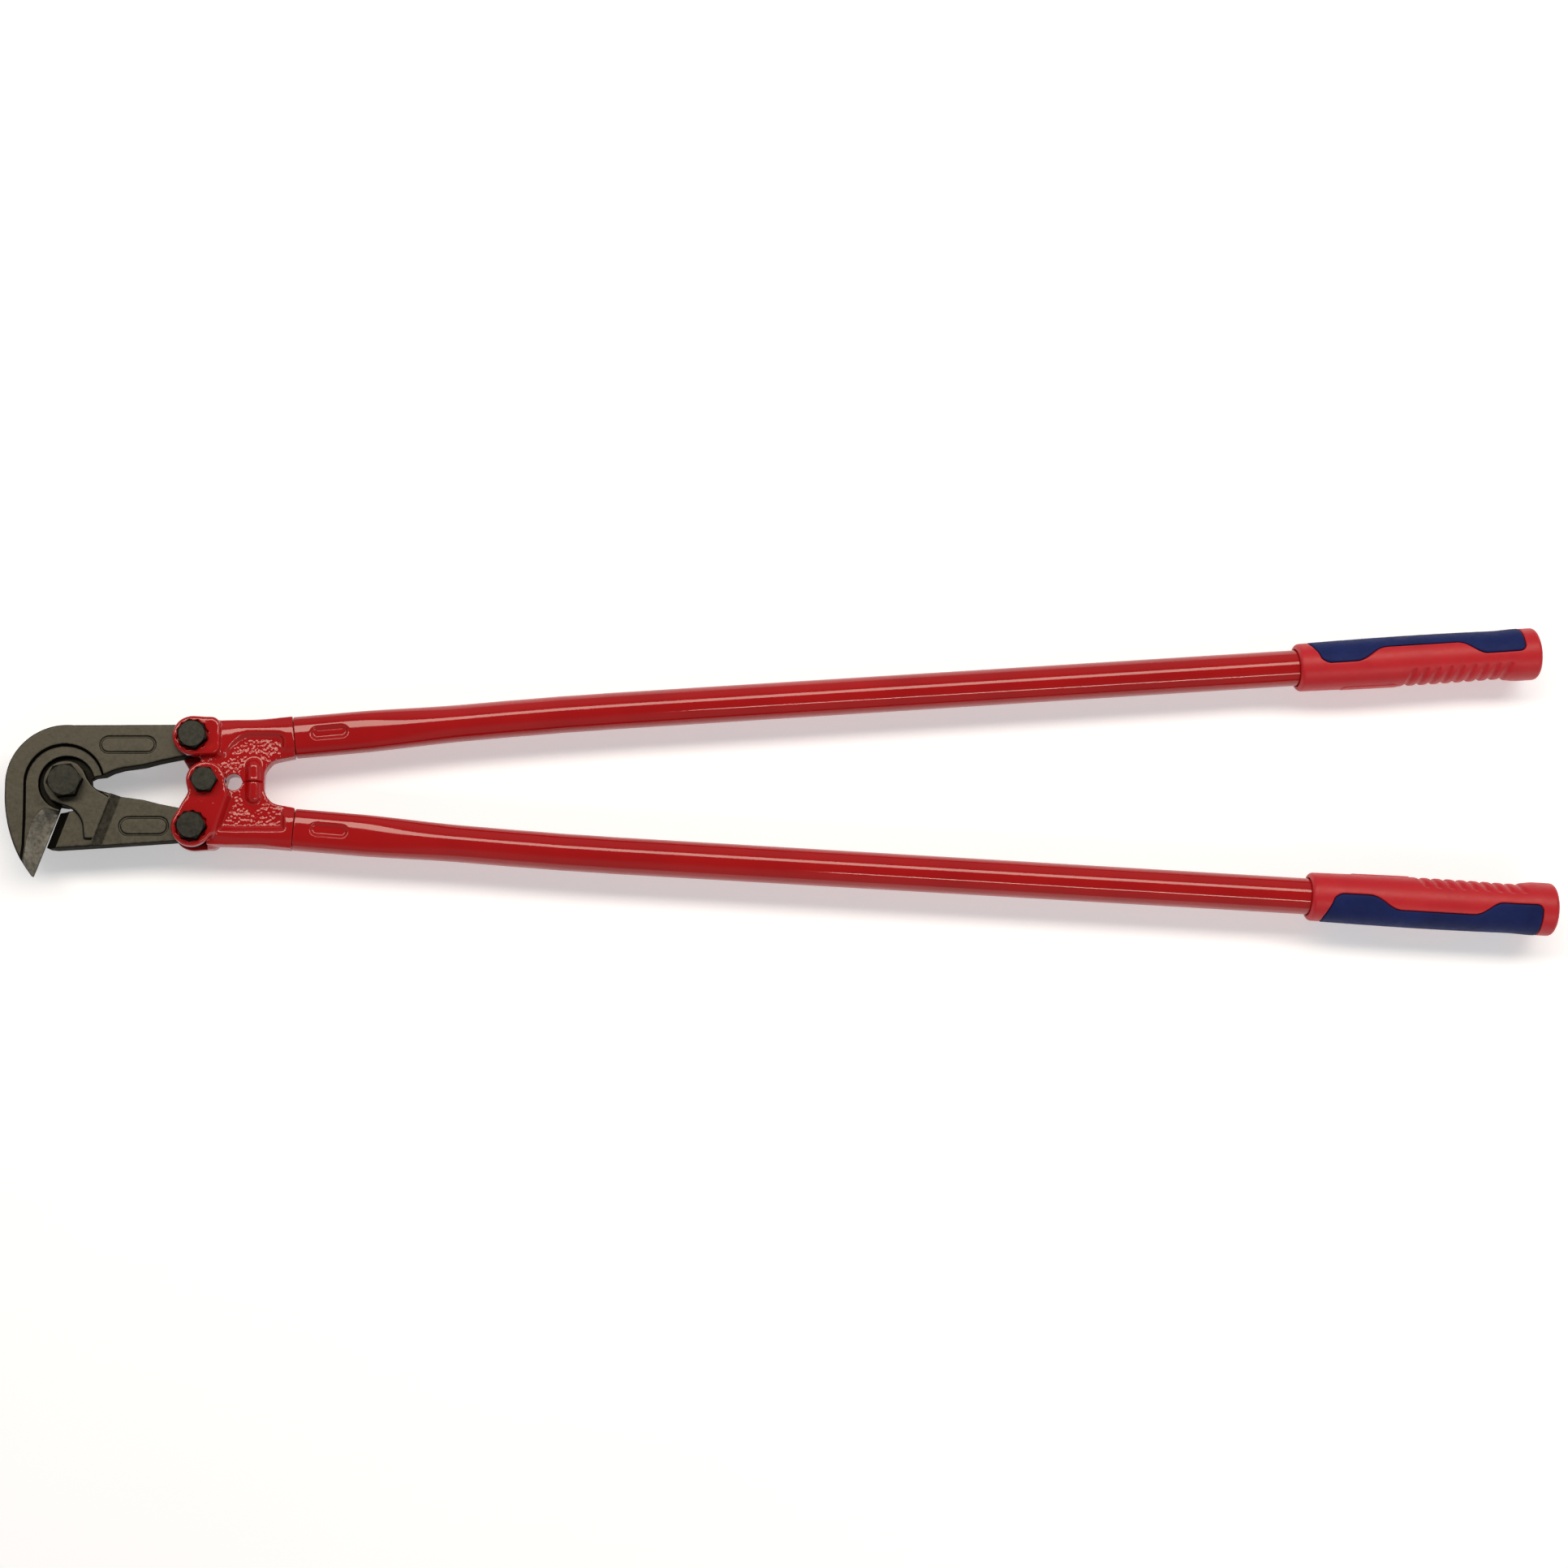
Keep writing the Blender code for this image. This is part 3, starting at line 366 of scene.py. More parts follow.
def unshaded_faces(tree):
    """Mask of the painted shade: 1 on the outer faces of the flat tool, 0 on its walls and deep in its
    recesses, where shade is painted.
    """
    where = tree.nodes.new("ShaderNodeTexCoord")
    facing = tree.nodes.new("ShaderNodeSeparateXYZ")
    place = tree.nodes.new("ShaderNodeSeparateXYZ")
    tree.links.new(where.outputs["Normal"], facing.inputs["Vector"])
    tree.links.new(where.outputs["Object"], place.inputs["Vector"])
    # painted shade: darker where the face turns away from front and back, and near the tool's middle plane
    flat = eased(tree, number(tree, "ABSOLUTE", facing.outputs["Z"]), 0.72, 0.985)
    height = number(tree, "ABSOLUTE", number(tree, "SUBTRACT", place.outputs["Z"], CENTRE.z))
    return number(tree, "MULTIPLY", flat, eased(tree, height, 1.2 * MM, 3.2 * MM))


def phosphate(name, low, high, rough, grit, paint_wall_shade=True):
    """Phosphated steel with a fine grain, whose walls and recesses can be painted darker as shade, leaving
    its flat outer faces paler.
    """
    finish, tree, shader = nodes_of(name)
    tone_and_shade = noise(tree, 420, 6, 0.7)
    if paint_wall_shade:
        # painted shade: walls and parts near the middle plane drop down the colour ramp
        unshaded_share = number(tree, "MULTIPLY", unshaded_faces(tree), WALL_SHADE)
        tone_and_shade = number(tree, "ADD", tone_and_shade, number(tree, "SUBTRACT", unshaded_share, WALL_SHADE))
    tint = ramp(tree, tone_and_shade, low, high, 0.32, 0.68)
    # the ramp's lowest stop, a quarter of the low colour, is the painted shade colour
    painted_shade_stop = tint.node.color_ramp.elements.new(0.0)
    painted_shade_stop.color = (*(value * 0.25 for value in low), 1)
    tree.links.new(tint, shader.inputs["Base Color"])
    dull = spread(tree, noise(tree, 420, 5, 0.7), rough - 0.07, rough + 0.09)
    tree.links.new(dull, shader.inputs["Roughness"])
    shader.inputs["Metallic"].default_value = 0.9
    shader.inputs["Specular Tint"].default_value = (0.45, 0.44, 0.42, 1)
    bumps(tree, shader, [(noise(tree, 520, 5, 0.7), 0.4, grit), (noise(tree, 1800, 3, 0.6), 0.3, grit * 0.5)])
    return finish


def moulded(name, low, high, rough, grain_scale, grain, level):
    """Moulded plastic; level is how strongly it reflects."""
    finish, tree, shader = nodes_of(name)
    tree.links.new(ramp(tree, noise(tree, 40), low, high, 0.3, 0.7), shader.inputs["Base Color"])
    tree.links.new(spread(tree, noise(tree, 240), rough - 0.05, rough + 0.06), shader.inputs["Roughness"])
    shader.inputs["Specular IOR Level"].default_value = level
    fine = noise(tree, grain_scale * 3)
    bumps(tree, shader, [(noise(tree, grain_scale, 3), 0.5, grain), (fine, 0.3, grain / 2)])
    return finish


TUBE_RED = lacquer("tube_lacquer", 0.012 * MM, 0.05 * MM)
CAST_RED = lacquer("cast_lacquer", 0.05 * MM, 0.1 * MM)
# the jaws get painted shade on their walls and in their recesses
JAW_STEEL = phosphate("jaw_phosphate", (0.050, 0.047, 0.038), (0.092, 0.086, 0.068), 0.48, 0.05 * MM)
GROUND_STEEL = phosphate("ground_edge", (0.120, 0.114, 0.100), (0.220, 0.210, 0.185), 0.36, 0.02 * MM,
                         paint_wall_shade=False)
# the bolts get painted shade on their walls
BOLT_STEEL = phosphate("bolt_phosphate", (0.018, 0.019, 0.016), (0.038, 0.038, 0.033), 0.36, 0.04 * MM)
GRIP_RED = moulded("grip_red", (0.45, 0.010, 0.018), (0.50, 0.013, 0.022), 0.42, 900, 0.03 * MM, 0.35)
GRIP_BLUE = moulded("grip_blue", (0.0035, 0.0095, 0.072), (0.0080, 0.0180, 0.112), 0.60, 1300, 0.12 * MM,
                    0.15)


# Levers, drawn from the centre bolt as the upper one

def seam_point(side):
    """Point on the seam between casting and tube, this far to the side of the tube's middle line."""
    return SEAM[0] - side * math.sin(FRONT_SLOPE), SEAM[1] + side * math.cos(FRONT_SLOPE)


def web_outline():
    """The flat web, from the stops and the fork to the seam."""
    width = OVAL_HALF_WIDTH - 0.3 * MM
    points = [(1 * MM, LAP), (34.7 * MM, LAP)]
    points += arc((45.7 * MM, 3.05 * MM), 11.0 * MM, 180, 98, 16)
    points += [seam_point(-width), seam_point(width), (32 * MM, 37.7 * MM), (12 * MM, 38.0 * MM)]
    points += [(-3.3 * MM, 37.5 * MM), (-3.3 * MM, 8.2 * MM)]
    return points


def rail_outer():
    """Outer edge of the rail that runs round the pocket, from the seam to the boss."""
    seam = [seam_point(-OVAL_HALF_WIDTH), seam_point(OVAL_HALF_WIDTH)]
    return seam + [(32 * MM, 37.85 * MM), (7.1 * MM, 38.7 * MM)]


def front_rail():
    """Rail round the front pocket, which is rounded towards the boss."""
    points = rail_outer() + [(7.1 * MM, 14.5 * MM)]
    points += arc((31 * MM, 8.5 * MM), 22.1 * MM, 164, 104, 20)
    points += arc((42.6 * MM, 24.9 * MM), 4.9 * MM, 90, 0, 10)
    return points + [(48.0 * MM, SEAM[1] - OVAL_HALF_WIDTH - 0.6 * MM)]


def back_rail():
    """Rail round the rear pocket, which is nearly square."""
    points = rail_outer() + [(7.1 * MM, 30.2 * MM)]
    points += arc((45.6 * MM, 27.9 * MM), 2.4 * MM, 90, 0, 8)
    return points + [(48.0 * MM, SEAM[1] - OVAL_HALF_WIDTH - 0.6 * MM)]


def boss_outline():
    """Squared boss in front, drawn from the adjuster bolt."""
    points = arc((0, 0), BOSS_RADIUS, 88, 272, 40)
    points += arc((11.0 * MM, -6.4 * MM), 5.2 * MM, 275, 360, 10)
    points += arc((11.0 * MM, 6.2 * MM), 5.2 * MM, 0, 85, 10)
    return points


def link_outline():
    """Cheek from the adjuster bolt to the centre bolt."""
    points = arc((-AHEAD, ASIDE), BOSS_RADIUS, 38, 205, 34)
    points += [(-13.6 * MM, 14.0 * MM), (-10.6 * MM, 9.0 * MM), (-9.6 * MM, 6.6 * MM)]
    points += arc((0.7 * MM, -0.5 * MM), 11.7 * MM, 166, 346, 36)
    points += [(12.9 * MM, 6.6 * MM), (12.7 * MM, 9.4 * MM), (5.6 * MM, 31 * MM)]
    return points


def slot_outline():
    """Room for the jaw's eye between the cheeks, drawn from the adjuster bolt."""
    fall = math.radians(12)
    points = arc((0, 0), 11.3 * MM, -78, 40, 20)
    points += [(7 * MM, 24 * MM), (-40 * MM, 24 * MM)]
    points.append((-40 * MM, points[0][1] - (40 * MM + points[0][0]) * math.tan(fall)))
    return points


def star(radius, turn):
    """Twelve-pointed outline round two hexagons."""
    valley = radius * math.cos(math.radians(30)) / math.cos(math.radians(15))
    reaches = (radius, valley) * 12
    turns = [math.radians(turn + 15 * step) for step in range(24)]
    return [(reach * math.cos(angle), reach * math.sin(angle)) for reach, angle in zip(reaches, turns)]


def lever_field(grid, side, bolt_turn):
    """The casting: pocketed web and rail, squared boss in front, link cheek behind, and half of the stop."""
    adjuster = (-AHEAD, ASIDE)
    front = outline_field(grid.x, grid.y, front_rail())
    back = outline_field(grid.x, grid.y, back_rail())
    pocket = np.where(grid.z > 0, front, back)
    draft = np.clip(RIM_HALF - np.abs(grid.z), 0, 3.4 * MM) * 0.85
    along = (grid.x - SEAM[0]) * math.cos(FRONT_SLOPE) + (grid.y - SEAM[1]) * math.sin(FRONT_SLOPE)
    across = (grid.y - SEAM[1]) * math.cos(FRONT_SLOPE) - (grid.x - SEAM[0]) * math.sin(FRONT_SLOPE)
    taper = np.clip(-along / (34 * MM), 0, 1) * 1.8 * MM
    oval = ((np.abs(across - taper / 2) / OVAL_HALF_WIDTH) ** 2.4
            + (np.abs(grid.z) / (OVAL_HALF_DEPTH + taper / 2)) ** 2.4) ** (1 / 2.4) - 1
    rail = both((pocket - draft) * 0.8, slab(grid.z, -RIM_HALF, RIM_HALF), 1.2 * MM)
    rail = both(rail, oval * OVAL_HALF_DEPTH, 1.0 * MM)
    web = prism(grid, web_outline(), -WEB_HALF, WEB_HALF, 1.0 * MM)
    boss_edge = outline_field(grid.x - adjuster[0], grid.y - adjuster[1], boss_outline())
    boss = both(boss_edge, slab(grid.z, 2 * MM, BOSS_HALF), 2.0 * MM)
    link_edge = outline_field(grid.x, grid.y, link_outline())
    link_draft = np.clip(grid.z + BOSS_HALF, 0, 7 * MM) * 0.5 * np.clip((grid.x - 3 * MM) / (4 * MM), 0, 1)
    link_edge = link_edge - link_draft * np.clip((grid.y - 4 * MM) / (5 * MM), 0, 1)
    link = both(link_edge, slab(grid.z, -BOSS_HALF, -WEB_HALF), 1.8 * MM)
    centre = disc(grid, (0, 0), 10.8 * MM, -BOSS_HALF + 1 * MM, -LAP)
    height = np.clip(grid.y, 0, 9 * MM)
    stop = np.sqrt((grid.x - STOP_PLACE) ** 2 + (grid.y - height) ** 2 + (grid.z * 0.6) ** 2) - 6.3 * MM
    stop = both(stop, LAP - grid.y)
    cast = either(web, rail, 1.2 * MM)
    cast = either(cast, boss, 1.4 * MM)
    cast = either(cast, either(link, centre), 1.2 * MM)
    cast = either(cast, stop, 1.0 * MM)
    cast = softened(cast, 3)
    rough = np.clip((pocket - 2.4 * MM) / (1.2 * MM), 0, 1) * np.clip(boss_edge / (1.5 * MM), 0, 1)
    rough = rough * np.where(grid.z < 0, np.clip(link_edge / (1.5 * MM), 0.22, 1), 1)
    round_stop = (grid.x - STOP_PLACE) ** 2 / (8 * MM) ** 2 + (grid.y / (17.5 * MM)) ** 2 - 1
    rough = rough * np.clip(round_stop * 6, 0, 1)
    cast = cast + rough * (lumps(grid, 1.15 * MM, SEED) * 0.22 + lumps(grid, 0.8 * MM, SEED + 1) * 0.12) * MM
    cast = cast + lumps(grid, 5 * MM, SEED + 2) * 0.10 * MM
    slot = prism(grid, shifted(slot_outline(), adjuster), -JAW_HALF - GAP, JAW_HALF + GAP)
    lap = disc(grid, (0, 0), 11.7 * MM, -LAP, 40 * MM)
    cast = less(cast, slot, 0.4 * MM)
    cast = less(cast, lap, 0.4 * MM)
    cast = less(cast, disc(grid, (16.7 * MM, 0), 5 * MM), 0.6 * MM)
    cast = less(cast, disc(grid, (0, 0), M10_HOLE_RADIUS))
    cast = less(cast, disc(grid, adjuster, M12_HOLE_RADIUS))
    floor = BOSS_HALF - 2.2 * MM
    levels = (floor, FAR) if side > 0 else (-FAR, -floor)
    recess = prism(grid, shifted(star(9.75 * MM, bolt_turn * side), adjuster), *levels)
    return both(less(cast, recess, 0.25 * MM), along)


def make_levers():
    grid = Grid((-21 * MM, -12 * MM, -14 * MM), (53.5 * MM, 42.5 * MM, 14 * MM), STEEL_CELL)
    for label, side, bolt_turn in (("upper", 1, -77.5), ("lower", -1, -65)):
        mesh = skin(label + "_lever_casting", lever_field(grid, side, bolt_turn), grid)
        place = Matrix.Translation(CENTRE) @ Matrix.Diagonal((1, side, side, 1))
        evened(piece(label + "_lever_casting", mesh, place, label + "_handle", "red_paint", CAST_RED,
                     label + "_lever"))


# Jaws, drawn from the jaw bolt

EYE = (JAW_PIVOT - AHEAD, ASIDE)
LOWER_EYE = (EYE[0], -EYE[1])
LEAN = math.atan(EDGE_SLOPE)
CHEEK_FOOT = (17.2 * MM, -34.2 * MM)
CHEEK_HEAD = (26.0 * MM, -9.9 * MM)
SHANK_TOP = 5.2 * MM            # front face of the lower jaw's shank
PANEL_LINE = 0.5 * MM           # half the width of the fine line round each blank frame
PANEL_DEPTH = 0.7 * MM
FORGED_UNEVENNESS = 0.05 * MM


def edge_place(drop):
    """How far ahead of the jaw bolt the cutting edges lie, this far below it."""
    return 3.05 * MM + EDGE_SLOPE * (drop - 15 * MM)


def inner_edge():
    """Edge of the upper jaw that faces the lower one, from the hub to the eye."""
    return [(17.0 * MM, 3.9 * MM), (22.5 * MM, 4.6 * MM), (27.5 * MM, 7.0 * MM), (33.0 * MM, 8.6 * MM),
            (45.6 * MM, 10.4 * MM), (54.6 * MM, 12.8 * MM)]


def hook_outline():
    """The upper jaw from the front: its eye, its back, the hook's tip, the cutting edge and the hub."""
    points = arc(EYE, EYE_RADIUS, -74, 133, 40)
    points += arc((0, -0.5 * MM), 35.7 * MM, 84, 180, 50)
    points += arc((49.3 * MM, -6 * MM), 85 * MM, 181, 215.6, 26)
    points += [(-18.4 * MM, -56.3 * MM), (-17.6 * MM, -54.2 * MM), (-edge_place(15 * MM), -15 * MM)]
    points += arc((0, 0), 14.5 * MM, -99, 10, 26)
    return points + inner_edge()


def lower_outline():
    """The lower jaw from the front: its eye, its foot, the cutting edge and the notch round the hub."""
    points = arc(LOWER_EYE, EYE_RADIUS, 74, -133, 40)
    points += [(15 * MM, -38.6 * MM), (-4.7 * MM, -39.7 * MM)]
    points += [(-8.6 * MM, -39.6 * MM), (-11.2 * MM, -38.6 * MM)]
    points.append((-edge_place(JAW_HUB_RADIUS) + GAP, -JAW_HUB_RADIUS))
    points += arc((0, 0), JAW_HUB_RADIUS, -94, -13, 16)
    return points + [(x, -y) for x, y in inner_edge()[2:]]


def cheek_outline():
    """Raised cheek of the lower jaw, from the pivot to the foot of its shank."""
    points = arc((0, 0), 13.2 * MM, 57, 214, 40)
    points += [(-8.6 * MM, -10.9 * MM), (-4.4 * MM, -12.7 * MM), (0.7 * MM, -14.6 * MM)]
    points += arc((-4 * MM, -28.6 * MM), 14.8 * MM, 70, 4, 16)
    points += [(11.4 * MM, -33.6 * MM), (12.4 * MM, -34.4 * MM), CHEEK_FOOT]
    points += [CHEEK_HEAD, (24.9 * MM, -8.5 * MM), (18.5 * MM, -4.6 * MM)]
    points += [(15.3 * MM, -1.6 * MM), (12.5 * MM, 2.6 * MM), (10.4 * MM, 7.4 * MM)]
    return points


def stadium(grid, centre, length, height):
    """Distance to a bar with round ends, negative inside."""
    reach = (length - height) / 2
    over = np.abs(grid.x - centre[0])
    return np.hypot(np.maximum(over - reach, 0), grid.y - centre[1]) - height / 2


def plain_panel(grid, body, centre, length, height, face):
    """Blank stadium-shaped frame, sunk as a fine line into the face."""
    line = np.abs(stadium(grid, centre, length, height)) - PANEL_LINE
    return less(body, both(line, face - PANEL_DEPTH - grid.z), 0.15 * MM)


def edge_distance(grid):
    """Distance from the line of the cutting edges, positive on the lower jaw's side."""
    return (grid.x + edge_place(0) - grid.y * EDGE_SLOPE) * math.cos(LEAN)


def inner_zone():
    """Part of the hook jaw that is thinner in front: a ring round the hub, and the blade."""
    points = arc((-1.2 * MM, 0), 23.4 * MM, 4, 180, 60)
    points += [(-24.4 * MM, -20 * MM), (-24.7 * MM, -38 * MM), (-26.5 * MM, -52 * MM)]
    return points + [(-27.5 * MM, -60 * MM), (20 * MM, -62 * MM), (30 * MM, 0)]


def bevel_outline():
    """Ground bevel of the hook, seen from the front."""
    points = ((-4.6, -17.1), (-12.2, -15.0), (-14.2, -15.7), (-16.7, -18.2), (-18.9, -21.5), (-21.1, -28.0),
              (-22.8, -34.9), (-23.9, -46.7), (-26.5, -62.0), (30.0, -62.0), (30.0, -17.1))
    return [(x * MM, y * MM) for x, y in points]


def hook_field(grid):
    """The hook jaw: an inner zone that steps down in front, a hollow ground bevel and a flat one behind."""
    body = prism(grid, hook_outline(), -JAW_HALF, JAW_HALF, 1.0 * MM)
    zone = outline_field(grid.x, grid.y, inner_zone())
    wall = (zone + 1.0 * MM) * 1.9
    step = (np.maximum(wall, 0) + HOOK_INNER_TOP - grid.z) / 1.6
    body = less(body, both(zone, step), 0.35 * MM)
    inward = -edge_distance(grid)
    bevel = outline_field(grid.x, grid.y, bevel_outline())
    run = np.maximum(inward, 0)
    share = run / (run + np.maximum(-bevel, 0) + 0.01 * MM)
    hollow = EDGE_LAND + (HOOK_INNER_TOP - EDGE_LAND) * share ** 1.7
    hollow = np.where(bevel > 0, FAR, hollow)
    body = both(body, np.where(grid.y < -12 * MM, (grid.z - hollow) * 0.9, -FAR))
    flat = EDGE_LAND + (JAW_HALF - EDGE_LAND) * inward / (10.3 * MM)
    body = both(body, np.where(grid.y < -13 * MM, (-grid.z - flat) * 0.85, -FAR))
    body = plain_panel(grid, body, (35.9 * MM, 22.9 * MM), 32.0 * MM, 9.6 * MM, JAW_HALF)
    body = body + (1 + lumps(grid, 4 * MM, SEED + 3)) * FORGED_UNEVENNESS
    body = less(body, disc(grid, (0, 0), 16.3 * MM, -LAP), 0.3 * MM)
    body = less(body, disc(grid, (0, 0), WIDE_HOLE_RADIUS))
    return less(body, disc(grid, EYE, M12_HOLE_RADIUS))


def lower_field(grid):
    """The lower jaw: a blade bevelled on both sides, and a cheek that slopes down to the shank."""
    body = prism(grid, lower_outline(), -JAW_HALF, JAW_HALF, 0.9 * MM)
    inward = edge_distance(grid) - GAP
    slope = np.minimum(EDGE_LAND + (JAW_HALF - EDGE_LAND) * inward / (6.0 * MM), FAR)
    body = both(body, (grid.z - slope) * 0.7)
    body = both(body, (-grid.z - slope) * 0.7)
    way = (Vector(CHEEK_HEAD) - Vector(CHEEK_FOOT)).normalized()
    beyond = (grid.x - CHEEK_FOOT[0]) * way.y - (grid.y - CHEEK_FOOT[1]) * way.x
    ramp_height = np.clip(CHEEK_TOP - 0.2 * MM - beyond * 0.55, SHANK_TOP, FAR)
    body = both(body, np.where(beyond > -1 * MM, (grid.z - ramp_height) * 0.88, -FAR))
    ramp_solid = both(prism(grid, lower_outline(), 0, CHEEK_TOP, 0.9 * MM), (grid.z - ramp_height) * 0.88)
    body = either(body, both(ramp_solid, np.maximum(-beyond - 1 * MM, beyond - 8 * MM)))
    cheek = prism(grid, cheek_outline(), LAP, CHEEK_TOP, 0.9 * MM)
    body = either(body, cheek, 0.5 * MM)
    body = plain_panel(grid, body, (45.9 * MM, -26.4 * MM), 28.2 * MM, 10.4 * MM, SHANK_TOP)
    body = body + (1 + lumps(grid, 4 * MM, SEED + 4)) * FORGED_UNEVENNESS
    body = less(body, disc(grid, (0, 0), JAW_HUB_RADIUS, high=LAP), 0.2 * MM)
    body = less(body, disc(grid, (0, 0), M12_HOLE_RADIUS))
    return less(body, disc(grid, LOWER_EYE, M12_HOLE_RADIUS))


def ground_faces(mesh):
    """For each face of the hook, 1 where it lies on the ground bevel."""
    centres = np.empty(len(mesh.polygons) * 3)
    mesh.polygons.foreach_get("center", centres)
    x, y, z = centres.reshape(-1, 3).T
    inward = -(x + edge_place(0) - y * EDGE_SLOPE) * math.cos(LEAN)
    level = (z > 0.2 * MM) & (z < HOOK_INNER_TOP - 0.12 * MM)
    return (level & (inward > -0.2 * MM) & (outline_field(x, y, bevel_outline()) < -0.1 * MM)).astype(int)


def make_jaws():
    place = Matrix.Translation(CENTRE - Vector((JAW_PIVOT, 0, 0)))
    grid = Grid((-37 * MM, -58 * MM, -7.4 * MM), (87 * MM, 39.5 * MM, 7.4 * MM), STEEL_CELL)
    mesh = skin("hook_jaw_forging", hook_field(grid), grid)
    ground = ground_faces(mesh)
    hook = piece("hook_jaw_forging", mesh, place, "hook_jaw", "phosphated_steel", JAW_STEEL, "hook_jaw")
    hook.data.materials.append(GROUND_STEEL)
    hook.data.polygons.foreach_set("material_index", ground)
    grid = Grid((-15 * MM, -41 * MM, -7.4 * MM), (87 * MM, 14.5 * MM, 9.4 * MM), STEEL_CELL)
    piece("lower_jaw_forging", skin("lower_jaw_forging", lower_field(grid), grid), place, "lower_jaw",
          "phosphated_steel", JAW_STEEL, "lower_jaw")


# Tubes

TUBE_SIDES = 112
TUBE_LIP = 0.5 * MM             # rounding of the tube's ends
SOCKET_HALF_DEPTH = 11.0 * MM   # of the oval before its faces are pressed flat
SOCKET_SQUARENESS = 2.3         # power of the oval: 2 is an ellipse
SOCKET_CROWN = 60 * MM          # radius of the pressed faces
SOCKET_EDGE = 14                # how sharply the pressed faces meet the oval
CRIMP_PLACE = 21.3 * MM
CRIMP_LENGTH = 22 * MM
CRIMP_WIDTH = 7.4 * MM
CRIMP_DEPTH = 1.7 * MM


def tube_point(distance):
    """Place of the tube's middle line at this distance from the seam, and its slope there."""
    share = min(1, max(0, (distance - FRONT_RUN) / BEND_LENGTH + 0.5))
    slope = FRONT_SLOPE + (REAR_SLOPE - FRONT_SLOPE) * share
    first = Vector((math.cos(FRONT_SLOPE), math.sin(FRONT_SLOPE)))
    second = Vector((math.cos(REAR_SLOPE), math.sin(REAR_SLOPE)))
    place = Vector(SEAM) + first * min(distance, FRONT_RUN) + second * max(distance - FRONT_RUN, 0)
    return place - (first - second) * BEND_LENGTH / 2 * max(0, 0.25 - (share - 0.5) ** 2), slope


def ease(value, start, end):
    """Number that eases from 0 to 1 as the value goes from start to end."""
    share = min(1, max(0, (value - start) / (end - start)))
    return share * share * (3 - 2 * share)


def section(distance, turn):
    """Outer radius of the tube in this direction: a pressed oval in front that becomes round."""
    across, up = math.cos(turn), math.sin(turn)
    power = SOCKET_SQUARENESS
    oval = ((abs(across) / OVAL_HALF_WIDTH) ** power + (abs(up) / SOCKET_HALF_DEPTH) ** power) ** (-1 / power)
    drop = SOCKET_CROWN - OVAL_HALF_DEPTH
    pressed = -drop * abs(up) + math.sqrt(SOCKET_CROWN ** 2 - (drop * across) ** 2)
    oval = (oval ** -SOCKET_EDGE + pressed ** -SOCKET_EDGE) ** (-1 / SOCKET_EDGE)
    share = ease(distance, SPIGOT_LENGTH - 8 * MM, FRONT_RUN - BEND_LENGTH)
    return oval + (TUBE_RADIUS - oval) * share


def crimp(distance, across):
    """Depth of the oblong crimp pressed into the tube's front over the casting's spigot."""
    reach = (CRIMP_LENGTH - CRIMP_WIDTH) / 2
    over = max(abs(distance - CRIMP_PLACE) - reach, 0)
    inside = CRIMP_WIDTH / 2 - math.hypot(over, across)
    return CRIMP_DEPTH * ease(inside, -0.7 * MM, 1.5 * MM)


def tube_rings():
    """Distance from the seam and inset from the outer surface of each ring, once round the tube's wall."""
    end = FRONT_RUN + REAR_RUN + GRIP_LENGTH - GRIP_END_WALL - 2 * GAP
    outer = [(GAP, TUBE_LIP), (GAP + 0.15 * MM, TUBE_LIP * 0.4), (GAP + TUBE_LIP, 0)]
    outer += [(1.2 * MM + 0.55 * MM * step, 0) for step in range(66)]
    outer += [(40 * MM + 4 * MM * step, 0) for step in range(44)]
    outer += [(230 * MM + 25 * MM * step, 0) for step in range(22)]
    outer += [(end - TUBE_LIP, 0), (end, TUBE_LIP)]
    bore = [(distance, TUBE_WALL) for distance, _ in outer[::-4] if 3 * MM < distance < end - 2 * MM]
    return outer + [(end, TUBE_WALL)] + bore + [(GAP, TUBE_WALL)]


def make_tube(label, side):
    mesh = bmesh.new()
    made = []
    for distance, inset in tube_rings():
        centre, slope = tube_point(distance)
        ring = []
        for step in range(TUBE_SIDES):
            turn = 2 * math.pi * step / TUBE_SIDES
            radius = section(distance, turn) - inset
            across, up = radius * math.cos(turn), radius * math.sin(turn)
            if up > 0:
                up -= crimp(distance, across)
            x = centre.x - across * math.sin(slope)
            y = (centre.y + across * math.cos(slope)) * side
            ring.append(mesh.verts.new((x, y, up)))
        made.append(ring)
    for one, two in zip(made, made[1:] + made[:1]):
        for step in range(TUBE_SIDES):
            after = (step + 1) % TUBE_SIDES
            mesh.faces.new((one[step], two[step], two[after], one[after]))
    bmesh.ops.recalc_face_normals(mesh, faces=mesh.faces)
    shape = bpy.data.meshes.new(label + "_handle_tube")
    mesh.to_mesh(shape)
    mesh.free()
    shape.shade_smooth()
    piece(label + "_handle_tube", shape, Matrix.Translation(CENTRE), label + "_handle", "red_paint", TUBE_RED,
          label + "_tube")


# Grips, drawn along the handle from the grip's front: x along, y outwards, z to the front

GRIP_WAIST = GRIP_LENGTH * 0.82  # where the flare to the end begins
FLARE_LENGTH = GRIP_LENGTH * 0.1
RIB_START = 66 * MM
RIB_PITCH = 7.8 * MM
RIB_LEAN = 0.42                 # shift along the grip per distance across it
RIB_DEPTH = 1.15 * MM
RIB_COUNT = 9.1
RIB_HALF_TURN = 1.12            # radians from the inner side
PANEL_PLACE = 46 * MM           # raised blank panel on the grip's inner side
PANEL_HALF_LENGTH = 14.5 * MM
PANEL_HALF_WIDTH = 4.4 * MM
PANEL_RISE = 0.4 * MM


